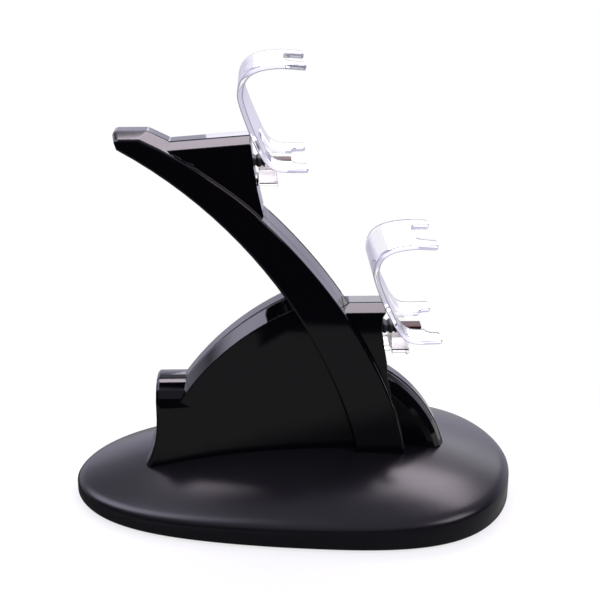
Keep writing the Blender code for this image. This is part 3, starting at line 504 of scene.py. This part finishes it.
def gloss_black():
    """Polished black: Bevel rounds the moulded edges, a groove draws the seam, waves bend it."""
    mat, tree, shader = finish_material("gloss_black", GLOSS_COLOUR, GLOSS_ROUGHNESS, IOR=1.52)
    waves = place_group(tree, WAVES, Scale=20.0)
    dust = place_group(tree, DUST, Scale=520.0, Size=0.05)
    groove = place_group(tree, GROOVE, Place=SEAM_PLACE, Half=0.0006)
    rounding = tree.nodes.new("ShaderNodeBevel")
    rounding.samples = 6
    rounding.inputs["Radius"].default_value = EDGE_RADIUS
    tree.links.new(rounding.outputs["Normal"], shader.inputs["Normal"])
    add_bump(tree, shader, groove.outputs["Height"], 1.0, 0.0008)
    add_bump(tree, shader, waves.outputs["Height"], 0.22, 0.0004)
    add_roughness(tree, shader, dust.outputs["Mask"], GLOSS_ROUGHNESS, 0.25)
    add_tint(tree, shader, dust.outputs["Mask"], GLOSS_COLOUR, (0.012, 0.012, 0.014))
    return mat


def satin_black():
    """Eroded black: fine grain, and a roughness that drifts in wide patches."""
    mat, tree, shader = finish_material("satin_black", SATIN_COLOUR, 0.24,
                                        Specular_IOR_Level=0.45)
    grain = place_group(tree, GRAIN, Scale=2400.0)
    dust = place_group(tree, DUST, Scale=380.0, Size=0.06)
    add_bump(tree, shader, grain.outputs["Height"], 0.14, 0.00004)
    add_roughness(tree, shader, grain.outputs["Patches"], 0.20, 0.29)
    add_tint(tree, shader, dust.outputs["Mask"], SATIN_COLOUR, (0.030, 0.030, 0.034))
    return mat


# %% Clear and milky plastics
CLEAR_COLOUR = (0.995, 0.993, 0.997)
# Painted reflection: grey painted into the clear plastic, standing in for the dark room seen in its
# edges
PAINTED_EDGE_REFLECTION_COLOUR = (0.17, 0.18, 0.23)


def clear_plastic():
    """Clear, with a painted reflection: its colour turns grey on marked edges and where it faces
    away.
    """
    mat, tree, shader = finish_material("clear_plastic", CLEAR_COLOUR, 0.02,
                                        Transmission_Weight=1.0, IOR=1.45)
    waves = place_group(tree, WAVES, Scale=60.0)
    add_bump(tree, shader, waves.outputs["Height"], 0.15, 0.0003)
    # Painted reflection of the dark room: grey where the face turns away from the eye and on the
    # marked edges
    turned = tree.nodes.new("ShaderNodeLayerWeight")
    turned.inputs["Blend"].default_value = 0.5
    marked = tree.nodes.new("ShaderNodeAttribute")
    marked.attribute_name = "painted_edge_reflection"
    turned_away = ramp_node(tree, turned.outputs["Facing"], 0.90, 1.0, 0.0, 0.9)
    shade = math_node(tree, "MAXIMUM", turned_away, marked.outputs["Fac"])
    add_tint(tree, shader, shade, CLEAR_COLOUR, PAINTED_EDGE_REFLECTION_COLOUR)
    return mat


def milky_plastic():
    """Plastic that scatters: rough on its surface, so that what is behind it blurs."""
    mat, tree, shader = finish_material("milky_plastic", (1.0, 0.955, 0.96), 0.30,
                                        Transmission_Weight=0.85, IOR=1.45)
    grain = place_group(tree, GRAIN, Scale=900.0)
    add_bump(tree, shader, grain.outputs["Height"], 0.2, 0.0001)
    return mat


# %% Hidden plastics, rubber, metal, and the table of finishes
def grained_plastic(name, colour, low, high, scale):
    """Dull plastic or rubber with grain; its roughness drifts from low to high."""
    mat, tree, shader = finish_material(name, colour, low)
    grain = place_group(tree, GRAIN, Scale=scale)
    add_bump(tree, shader, grain.outputs["Height"], 0.35, 0.00006)
    add_roughness(tree, shader, grain.outputs["Patches"], low, high)
    return mat


def plated_metal(name, colour, roughness):
    """Plated sheet: faint grain, and hairlines that are rougher than the rest."""
    mat, tree, shader = finish_material(name, colour, roughness, 1.0)
    lines = place_group(tree, HAIRLINES, Scale=90.0)
    grain = place_group(tree, GRAIN, Scale=1500.0)
    add_bump(tree, shader, grain.outputs["Height"], 0.12, 0.00004)
    add_roughness(tree, shader, lines.outputs["Mask"], roughness, roughness + 0.2)
    return mat


finishes = {
    "gloss_black": gloss_black(),
    "satin_black": satin_black(),
    "clear": clear_plastic(),
    "milky": milky_plastic(),
    "matte_black": grained_plastic("matte_black", (0.018, 0.018, 0.019), 0.45, 0.6, 1800.0),
    "rubber": grained_plastic("dark_rubber", (0.022, 0.022, 0.026), 0.35, 0.55, 1400.0),
    "board": grained_plastic("green_board", (0.012, 0.120, 0.050), 0.35, 0.5, 900.0),
    "lead": grained_plastic("lead_sheath", (0.250, 0.015, 0.015), 0.4, 0.55, 700.0),
    "plated": plated_metal("plated_metal", (0.070, 0.040, 0.034), 0.42),
    "steel": plated_metal("zinc_steel", (0.55, 0.55, 0.57), 0.28),
}
print("finishes:", sorted(finishes))

# %% [markdown]
# ## Putting a finish on the solids
#
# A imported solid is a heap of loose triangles. A small geometry-node tree joins them, shades
# them smooth, and keeps an edge sharp where two faces meet at more than a set angle. It
# works on a copy in the modifier, so the solid's own mesh stays as it was.


# %% Smooth shading by angle
CRISP_DEGREES = 12.5
SOFT_DEGREES = 35


def smooth_tree(degrees):
    """Merge, shade all faces smooth, then sharpen edges that bend by more than the angle."""
    tree = bpy.data.node_groups.new(f"smooth_{int(degrees)}", "GeometryNodeTree")
    tree.interface.new_socket("Geometry", in_out="INPUT", socket_type="NodeSocketGeometry")
    tree.interface.new_socket("Geometry", in_out="OUTPUT", socket_type="NodeSocketGeometry")
    source = tree.nodes.new("NodeGroupInput")
    sink = tree.nodes.new("NodeGroupOutput")
    merge = tree.nodes.new("GeometryNodeMergeByDistance")
    merge.inputs["Distance"].default_value = 0.000002
    faces = tree.nodes.new("GeometryNodeSetShadeSmooth")
    edges = tree.nodes.new("GeometryNodeSetShadeSmooth")
    edges.domain = "EDGE"
    edges.inputs["Shade Smooth"].default_value = False
    angle = tree.nodes.new("GeometryNodeInputMeshEdgeAngle")
    over = tree.nodes.new("FunctionNodeCompare")
    over.operation = "GREATER_THAN"
    over.inputs[1].default_value = math.radians(degrees)
    links = tree.links
    links.new(source.outputs[0], merge.inputs["Geometry"])
    links.new(merge.outputs["Geometry"], faces.inputs["Geometry"])
    links.new(faces.outputs["Geometry"], edges.inputs["Geometry"])
    links.new(angle.outputs["Unsigned Angle"], over.inputs[0])
    links.new(over.outputs["Result"], edges.inputs["Selection"])
    links.new(edges.outputs["Geometry"], sink.inputs[0])
    return tree


def dress(name, finish, tree):
    """Give a solid its finish and its shading."""
    solid = nodes[name]
    solid.data.materials.clear()
    solid.data.materials.append(finishes[finish])
    solid.modifiers.new("smooth", "NODES").node_group = tree


crisp = smooth_tree(CRISP_DEGREES)
soft = smooth_tree(SOFT_DEGREES)
slots = {entry["node"]: entry["material_slot"] for entry in frame["record"]["subparts"]}
for name, slot in slots.items():
    dress(name, slot, crisp if slot == "gloss_black" else soft)
print("solids dressed:", len(slots))

# %% [markdown]
# ## Surfaces on a grid
#
# A curved piece is a grid of points P(u, v). Its rows and columns give the quads directly,
# so numpy can work out all points at once and all faces at once, and the mesh takes them in
# one call.


# %% From arrays to a piece
WELD = 0.0000002


def piece_from_arrays(name, points, faces, finish, smooth=35.0, values=None):
    """Mesh object from an (n, 3) array and an (m, 4) array of corner numbers.

    Points that lie on one another become one, so seams close. Values are named arrays with
    a number for each point, which a finish can read.
    """
    mesh = bpy.data.meshes.new(name)
    mesh.vertices.add(len(points))
    mesh.vertices.foreach_set("co", np.asarray(points, dtype=np.float32).ravel())
    faces = np.asarray(faces, dtype=np.int32)
    mesh.loops.add(faces.size)
    mesh.loops.foreach_set("vertex_index", faces.ravel())
    mesh.polygons.add(len(faces))
    starts = np.arange(0, faces.size, faces.shape[1], dtype=np.int32)
    mesh.polygons.foreach_set("loop_start", starts)
    mesh.update(calc_edges=True)
    for label, numbers in (values or {}).items():
        mesh.attributes.new(label, "FLOAT", "POINT").data.foreach_set("value", numbers)
    welded = bmesh.new()
    welded.from_mesh(mesh)
    bmesh.ops.remove_doubles(welded, verts=welded.verts, dist=WELD)
    welded.to_mesh(mesh)
    welded.free()
    piece = bpy.data.objects.new(name, mesh)
    bpy.context.scene.collection.objects.link(piece)
    mesh.materials.append(finishes[finish])
    mesh.shade_smooth()
    mesh.set_sharp_from_angle(angle=math.radians(smooth))
    return piece


def tube_faces(rows, count):
    """Quads of a grid of rows rings with count points each, closed round the ring."""
    i = np.arange(rows - 1)[:, None]
    j = np.arange(count)[None, :]
    k = (j + 1) % count
    quads = np.stack([i * count + j, i * count + k, (i + 1) * count + k, (i + 1) * count + j], -1)
    return quads.reshape(-1, 4)


def strip_cap(count):
    """Quads that fill a ring of count points: each joins two points to the two across."""
    k = np.arange(count // 2 - 1)
    return np.stack([k, k + 1, count - 2 - k, count - 1 - k], axis=1)


def closed_tube(rows, count):
    """Quads of a tube with both ends filled."""
    cap = strip_cap(count)
    return np.vstack([tube_faces(rows, count), cap[:, ::-1], (rows - 1) * count + cap])


def cubic(points, steps):
    """Cubic curve: (1-t)^3 A + 3t(1-t)^2 B + 3t^2(1-t) C + t^3 D."""
    p = np.array(points, dtype=float)
    t = np.linspace(0.0, 1.0, steps + 1)[:, None]
    return ((1 - t) ** 3 * p[0] + 3 * t * (1 - t) ** 2 * p[1]
            + 3 * t ** 2 * (1 - t) * p[2] + t ** 3 * p[3])


print("a tube of 2 rings with 4 points has", len(closed_tube(2, 4)), "quads")

# %% [markdown]
# ## The base cover
#
# On the real station this is one satin shell, egg-shaped from above and low like a
# pebble. Its plan is a superellipse whose width swells towards the front. Its height falls
# from the middle to the rim with a power of the relative radius, and a short curve rolls it
# over into the upright edge. The formula gives both in one grid, finer than a solid needs, and
# Solidify gives the wall its two millimetres. The middle of the dome lies a little forward,
# under the tower, and the rim rises slightly towards the front.


# %% Base cover
BASE_LENGTH = 0.184
BASE_HALF_WIDTH = 0.05557
DOME_X = 0.0157
DOME_TOP = 0.0236
DOME_POWER = 2.23
RIM_ROUND = 0.0045
RIM_DROP = 0.0024
COVER_WALL = 0.002


def plan(t):
    """x = a c^(2/p), y = b s^(2/q) (1 + 0.230 c + 0.342 c^2), with signed powers."""
    c = np.cos(t)
    s = np.sin(t)
    x = BASE_LENGTH / 2 * np.sign(c) * np.abs(c) ** (2 / 2.085)
    y = BASE_HALF_WIDTH * np.sign(s) * np.abs(s) ** (2 / 1.836)
    return x, y * (1 + 0.230 * c + 0.342 * c * c)


def base_cover_grid(around=256, along=36, round_steps=10):
    """z = rim + (top - rim)(1 - rho^power); the rim is a quadratic curve to the upright edge."""
    x, y = plan(np.linspace(0.0, 2 * np.pi, around, endpoint=False))
    reach = np.hypot(x - DOME_X, y)
    rim = 0.0093 + 0.025 * x
    start = 1 - RIM_ROUND / reach
    rho = np.linspace(0.004, 1.0, along)[:, None] * start[None, :]
    z = rim + (DOME_TOP - rim) * (1 - rho ** DOME_POWER)
    t = np.linspace(0.0, 1.0, round_steps + 1)[1:, None]
    rho_rim = (1 - t) ** 2 * start + 2 * t * (1 - t) + t * t
    z_rim = (1 - t) ** 2 * z[-1] + 2 * t * (1 - t) * rim + t * t * (rim - RIM_DROP)
    z_low = np.stack([np.full(around, 0.0012), np.full(around, 0.0008)])
    rho_low = np.stack([np.ones(around), 1 - 0.0003 / reach])
    rho = np.concatenate([rho, rho_rim, rho_low])
    z = np.concatenate([z, z_rim, z_low])
    return np.stack([DOME_X + rho * (x - DOME_X), rho * y, z], axis=-1)


def make_base_cover():
    """The grid as a skin, closed at its pole by quads that each span two points of the ring."""
    grid = base_cover_grid()
    rows, count = grid.shape[:2]
    pole = rows * count
    j = np.arange(0, count, 2)
    cap = np.stack([np.full(len(j), pole), j, (j + 1) % count, (j + 2) % count], axis=1)
    points = np.vstack([grid.reshape(-1, 3), [[DOME_X, 0.0, DOME_TOP]]])
    quads = np.vstack([tube_faces(rows, count)[:, ::-1], cap])
    cover = piece_from_arrays("base_cover_shell", points, quads, "satin_black", 60.0)
    wall = cover.modifiers.new("wall", "SOLIDIFY")
    wall.thickness = COVER_WALL
    wall.offset = -1.0
    return cover


cover = make_base_cover()
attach(cover, "root")
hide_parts("base_cover")
print("base cover points:", len(cover.data.vertices))

# %% [markdown]
# ## The clear hooks
#
# Each holder is a bent sheet of clear plastic, 2.3 mm thick and thinner at its lower end, that
# hooks over the back of a controller. It is moulded in one go: a crown, a knee, a straight back
# and a bend, with a fork cut into both ends and a gap through which the plug reaches. Bending a
# flat sheet by modifiers would blur the forks, so here the sheet is unrolled: s runs along it
# and v across it. Three openings with round corners take away the middle, so each half is one
# ring of points carried along the profile, with the edges rounded.

# %% Line of the hook and its openings
HOOK_THICKNESS = 0.0023
HOOK_ROUND = 0.0007
# Middle of each plug in x and z, and the lean of its hook in degrees
HOLDERS = {"upper": ((-0.0043, 0.1413), 0.0), "lower": ((0.0489, 0.0712), 2.4)}


def hook_line(steps=60):
    """Outer face in x and z from the plug's middle, with the length run so far."""
    crown = cubic(((0.0012, 0.0410), (-0.0110, 0.0410), (-0.0165, 0.0380), (-0.0166, 0.0290)),
                  steps)
    knee = cubic(((-0.0166, 0.0290), (-0.0166, 0.0262), (-0.0128, 0.0165), (-0.0112, 0.0130)),
                 steps)
    bend = cubic(((-0.0112, 0.0130), (-0.0078, 0.0055), (-0.0060, 0.0010), (0.0018, 0.0009)),
                 steps)
    line = np.vstack([[(0.0092, 0.0403)], crown, knee[1:], bend[1:], [(0.0098, 0.0007)]])
    step = np.hypot(*np.diff(line, axis=0).T)
    return line, np.concatenate([[0.0], np.cumsum(step)])


def opening(s, centre, reach, half):
    """v = half (1 - |(s - centre) / reach|^4)^(1/4), and 0 outside."""
    u = np.minimum(np.abs((s - centre) / reach), 1.0)
    return half * (1 - u ** 4) ** 0.25


def rows_at(centre, reach, total):
    """Rows crowded at the ends of an opening, so that its corners come out round."""
    t = np.linspace(0.0, 1.0, 12)
    offset = reach * (1 - 0.25 * t ** 4)
    rows = np.concatenate([centre - offset, centre + offset])
    return rows[(rows > 0.0) & (rows < total)]


def eased(s, radius):
    """1 beyond the radius, and a quarter circle down to 0 at s = 0."""
    u = 1 - np.minimum(s / radius, 1.0)
    return np.sqrt(np.maximum(1 - u * u, 0.0))


line, length = hook_line()
total = length[-1]
print("length of the sheet in mm:", round(total * 1000, 1))

# %% [markdown]
# The two halves of a hook mirror each other in Y. Where the sheet is whole, both meet in the
# middle plane and share their points there, so no wall is left inside the plastic. Polished
# edges of clear plastic bend the dark sides of the room to the eye; here that grey is a painted
# reflection, painted into the colour. A number for each point tells the finish where to paint it.


# %% Rows along the sheet
FOOT_HALF_WIDTH = 0.023
WIDTH_FALL = 0.125
UPPER_FORK = (0.0085, 0.0104)
LOWER_FORK = (0.0062, 0.0132)
PLUG_GAP_TOP = 0.0115
PLUG_GAP_HALF = 0.0092
TIP_ROUND = 0.0016


def sheet_rows():
    """s of every row, v of the opening and of the outer edge there, and the way to a tip."""
    below = total - np.interp(-PLUG_GAP_TOP, -line[:, 1], length)
    cuts = [(0.0, *UPPER_FORK), (total, *LOWER_FORK), (total, below, PLUG_GAP_HALF)]
    tips = TIP_ROUND * (1 - np.cos(np.linspace(0.0, np.pi / 2, 7)))
    s = np.concatenate([np.linspace(0.0, total, 150), tips, total - tips]
                       + [rows_at(c, r, total) for c, r, _ in cuts])
    s = np.unique(np.round(s, 8))
    inner = np.max([opening(s, *cut) for cut in cuts], axis=0)
    z = np.interp(s, length, line[:, 1])
    near_tip = np.minimum(s, total - s)
    pull = TIP_ROUND * (1 - eased(near_tip, TIP_ROUND))
    outer = FOOT_HALF_WIDTH - WIDTH_FALL * z - pull
    return s, np.where(inner > 0, inner + pull, 0.0), outer, near_tip


print("rows along the sheet:", len(sheet_rows()[0]))

# %% Section across the sheet
CORNER_POINTS = 5
FLAT_POINTS = 8
FINGER_LENGTH = 0.0080


def edge_ring(inner, outer):
    """v and w of a section: a rectangle with round corners, w from the outer to the inner face."""
    r = HOOK_ROUND
    r_in = np.minimum(r, inner)[:, None]
    a = np.linspace(0.0, np.pi / 2, CORNER_POINTS)[None, :]
    c = np.linspace(0.0, 1.0, FLAT_POINTS + 2)[None, 1:-1]
    low = inner[:, None] + r_in
    high = outer[:, None] - r
    v = np.hstack([low - r_in * np.cos(a), low + (high - low) * c, high + r * np.sin(a)])
    w = np.hstack([r_in * (1 - np.sin(a)), 0.0 * (low * c), 0.0 * high + r * (1 - np.cos(a))])
    return np.hstack([v, v[:, ::-1]]), np.hstack([w, HOOK_THICKNESS - w[:, ::-1]])


def painted_edge_reflection(near_tip, count):
    """Painted reflection of the dark room: 0.8 on the sides of the fork's fingers, and up to 1
    along the rounded outer edges.
    """
    k = np.arange(count)
    across = np.minimum(k, count - 1 - k)
    outer_corner = CORNER_POINTS + FLAT_POINTS
    sides = (across < CORNER_POINTS) | (across > outer_corner)
    rounded = np.interp(across, outer_corner + np.arange(5), (0.0, 0.6, 1.0, 0.6, 0.0))
    return np.maximum(0.8 * (near_tip < FINGER_LENGTH)[:, None] * sides, rounded).ravel()


# %% Sheet of a hook
FOOT_THINNED = 0.26


def hook_points(side, place, lean, rows):
    """P = line(s) + w n(s) in x and z, turned by the lean, and y = side v."""
    s, inner, outer, near_tip = rows
    v, w = edge_ring(inner, outer)
    thinner = 1 - FOOT_THINNED * np.clip((s / total - 0.65) / 0.2, 0.0, 1.0)
    w = w * thinner[:, None]
    middle_w = HOOK_THICKNESS / 2 * thinner[:, None]
    w = middle_w + (w - middle_w) * (0.4 + 0.6 * eased(near_tip, HOOK_ROUND))[:, None]
    x = np.interp(s, length, line[:, 0])
    z = np.interp(s, length, line[:, 1])
    slope = np.hypot(np.gradient(x, s), np.gradient(z, s))
    tx = (np.gradient(x, s) / slope)[:, None]
    tz = (np.gradient(z, s) / slope)[:, None]
    px = x[:, None] - w * tz
    pz = z[:, None] + w * tx
    turn = math.radians(lean)
    return np.stack([place[0] + px * math.cos(turn) - pz * math.sin(turn), side * v,
                     place[1] + px * math.sin(turn) + pz * math.cos(turn)], axis=-1)


def hook_quads(inner, count):
    """Tube of half a sheet with closed tips, open at the middle plane where it is whole."""
    rows = len(inner)
    quads = tube_faces(rows, count).reshape(rows - 1, count, 4)
    whole = (inner[:-1] == 0) & (inner[1:] == 0)
    k = np.arange(count)
    middle_wall = (k < CORNER_POINTS - 1) | (k >= count - CORNER_POINTS)
    quads = quads[~(whole[:, None] & middle_wall)]
    cap = strip_cap(count)
    return np.vstack([quads, cap[:, ::-1], (rows - 1) * count + cap])


def make_hook(level):
    """Near and far half in one mesh; the weld joins them along the middle plane."""
    place, lean = HOLDERS[level]
    rows = sheet_rows()
    near = hook_points(-1, place, lean, rows)
    far = hook_points(1, place, lean, rows)
    count = near.shape[1]
    quads = hook_quads(rows[1], count)
    points = np.concatenate([near, far]).reshape(-1, 3)
    faces = np.vstack([quads[:, ::-1], quads + len(rows[0]) * count])
    # Painted reflection: a number for each point marks where the grey edges are painted
    hook = piece_from_arrays(f"{level}_hook_sheet", points, faces, "clear", 50.0,
                             {"painted_edge_reflection": np.tile(painted_edge_reflection(rows[3], count), 2)})
    # Light doesn't pass through glass to a mirroring face, so a hook would be a dark stripe there
    hook.visible_glossy = False
    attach(hook, "root")
    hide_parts(f"{level}_holder")
    return hook


hooks = [make_hook(level) for level in HOLDERS]
print("points of a hook:", len(hooks[0].data.vertices))

# %% [markdown]
# ## Blocks under the hooks
#
# The foot of each hook is a milky block that sits against the tower, with a clear ledge at its
# bottom, two short necks up to the sheet and a tab that reaches inside to the lamp. All are
# rounded bars: a rectangle with round corners, carried upwards, drawn in at top and bottom. A
# cube with a Bevel modifier would do too, but the formula keeps the place in the mesh.


# %% Rounded bars
BAR_CORNER = 0.0007
BAR_EDGE = 0.0004


def rounded_bar(name, low, high, corner, edge, finish, turns=6):
    """x = +-(half - r) + (r - drawn) cos t, y likewise; drawn = edge (1 - sin a) at the ends."""
    low = np.array(low)
    high = np.array(high)
    middle_point = (low + high) / 2
    half = (high - low) / 2
    t = np.linspace(0.0, np.pi / 2, turns)
    cx = np.concatenate([np.cos(t), -np.cos(t[::-1]), -np.cos(t), np.cos(t[::-1])])
    cy = np.concatenate([np.sin(t), np.sin(t[::-1]), -np.sin(t), -np.sin(t[::-1])])
    sx = np.repeat([1, -1, -1, 1], turns)
    sy = np.repeat([1, 1, -1, -1], turns)
    a = np.linspace(0.0, np.pi / 2, 5)
    drawn = edge * np.concatenate([1 - np.sin(a), 1 - np.sin(a[::-1])])[:, None]
    up = np.concatenate([-half[2] + edge * (1 - np.cos(a)), half[2] - edge * (1 - np.cos(a[::-1]))])
    x = sx * (half[0] - corner) + (corner - drawn) * cx
    y = sy * (half[1] - corner) + (corner - drawn) * cy
    z = np.repeat(up[:, None], 4 * turns, axis=1)
    grid = np.stack([x, y, z], axis=-1) + middle_point
    return piece_from_arrays(name, grid.reshape(-1, 3), closed_tube(*x.shape), finish, 40.0)


def make_block(level):
    """The five bars below one hook, placed from the middle of its plug."""
    x, z = HOLDERS[level][0]
    parts = {
        "block": ((x - 0.0089, -0.0089, z - 0.0065), (x - 0.0020, 0.0089, z - 0.0013)),
        "ledge": ((x - 0.0086, -0.0094, z - 0.0086), (x - 0.0015, 0.0094, z - 0.0067)),
        "tab": ((x - 0.0145, -0.0059, z - 0.0085), (x - 0.0090, 0.0059, z - 0.0057)),
        "near_neck": ((x - 0.0052, -0.0088, z - 0.0011), (x - 0.0020, -0.0060, z + 0.0018)),
        "far_neck": ((x - 0.0052, 0.0060, z - 0.0011), (x - 0.0020, 0.0088, z + 0.0018)),
    }
    made = []
    for part, (low, high) in parts.items():
        bar = rounded_bar(f"{level}_{part}", low, high, BAR_CORNER, BAR_EDGE,
                          "milky" if part == "block" else "clear")
        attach(bar, "root")
        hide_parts(f"{level}_holder")
        made.append(bar)
    return made


blocks = [bar for level in HOLDERS for bar in make_block(level)]
print("bars of the holders:", len(blocks))

# %% [markdown]
# ## Plugs
#
# A folded metal shell with its two lower corners cut, as the socket of a controller needs, and
# behind it a dark boot with soft ribs. Both are one section carried along X. The shell turns in
# at its mouth and runs back inside, so it is hollow like the real one. The visible plug sits half
# a millimetre above the solid one, as the photograph shows it.


# %% Plug shell and boot
PLUG_LIFT = 0.0005
PLUG_HALF_WIDTH = 0.0034
PLUG_HALF_HEIGHT = 0.0009
PLUG_CORNER_CUT = 0.16
RIB_PITCH = 0.0025


def section(half_y, half_z, cut_low, points=56):
    """Superellipse of power 5 whose lower half narrows by cut_low, as y and z."""
    t = np.linspace(0.0, 2 * np.pi, points, endpoint=False) + np.pi / points
    y = np.sign(np.cos(t)) * np.abs(np.cos(t)) ** 0.4
    z = np.sign(np.sin(t)) * np.abs(np.sin(t)) ** 0.4
    y = y * (1 - cut_low * np.maximum(-z, 0.0) ** 3)
    return half_y * y, half_z * z


def carried(name, x, size_y, size_z, place_z, cut_low, finish):
    """Rings at x with half sizes size_y and size_z, closed by a strip at both ends."""
    y, z = section(1.0, 1.0, cut_low)
    grid = np.stack([x[:, None] + 0 * y, size_y[:, None] * y, place_z + size_z[:, None] * z], -1)
    quads = closed_tube(*grid.shape[:2])
    return piece_from_arrays(name, grid.reshape(-1, 3), quads, finish, 45.0)


def make_plug(level):
    """Metal shell from its back to its mouth and in again, and the ribbed boot behind it."""
    x, z = HOLDERS[level][0]
    z = z + PLUG_LIFT
    steps = np.array([0.0, 0.0002, 0.0035, 0.0096, 0.0098, 0.0098, 0.0096, 0.0037])
    wall = np.array([0.0002, 0.0, 0.0, 0.0, 0.00008, 0.00022, 0.0003, 0.0003])
    shell_x = x - 0.0060 + steps
    shell = carried(f"{level}_plug_metal", shell_x, PLUG_HALF_WIDTH - wall,
                    PLUG_HALF_HEIGHT - wall, z, PLUG_CORNER_CUT, "plated")
    boot_x = np.linspace(x - 0.0163, x - 0.0063, 90)
    rib = 0.5 + 0.5 * np.cos(2 * np.pi * (boot_x - boot_x[0]) / RIB_PITCH)
    ends = eased(np.minimum(boot_x - boot_x[0], boot_x[-1] - boot_x), 0.0005)
    deep = 0.66 + 0.34 * rib ** 0.5
    boot_width = 0.0042 * (0.5 + 0.5 * deep) * (0.9 + 0.1 * ends)
    boot_height = 0.0021 * deep * (0.85 + 0.15 * ends)
    boot = carried(f"{level}_plug_sleeve", boot_x, boot_width, boot_height, z, 0.0, "rubber")
    for piece, node, finish in ((shell, "plug_shell", "plated"), (boot, "plug_boot", "rubber")):
        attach(piece, "root")
        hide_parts(f"{level}_{node}")
    return shell_x.max()


print("plug mouths at x in mm:", [round(make_plug(level) * 1000, 2) for level in HOLDERS])
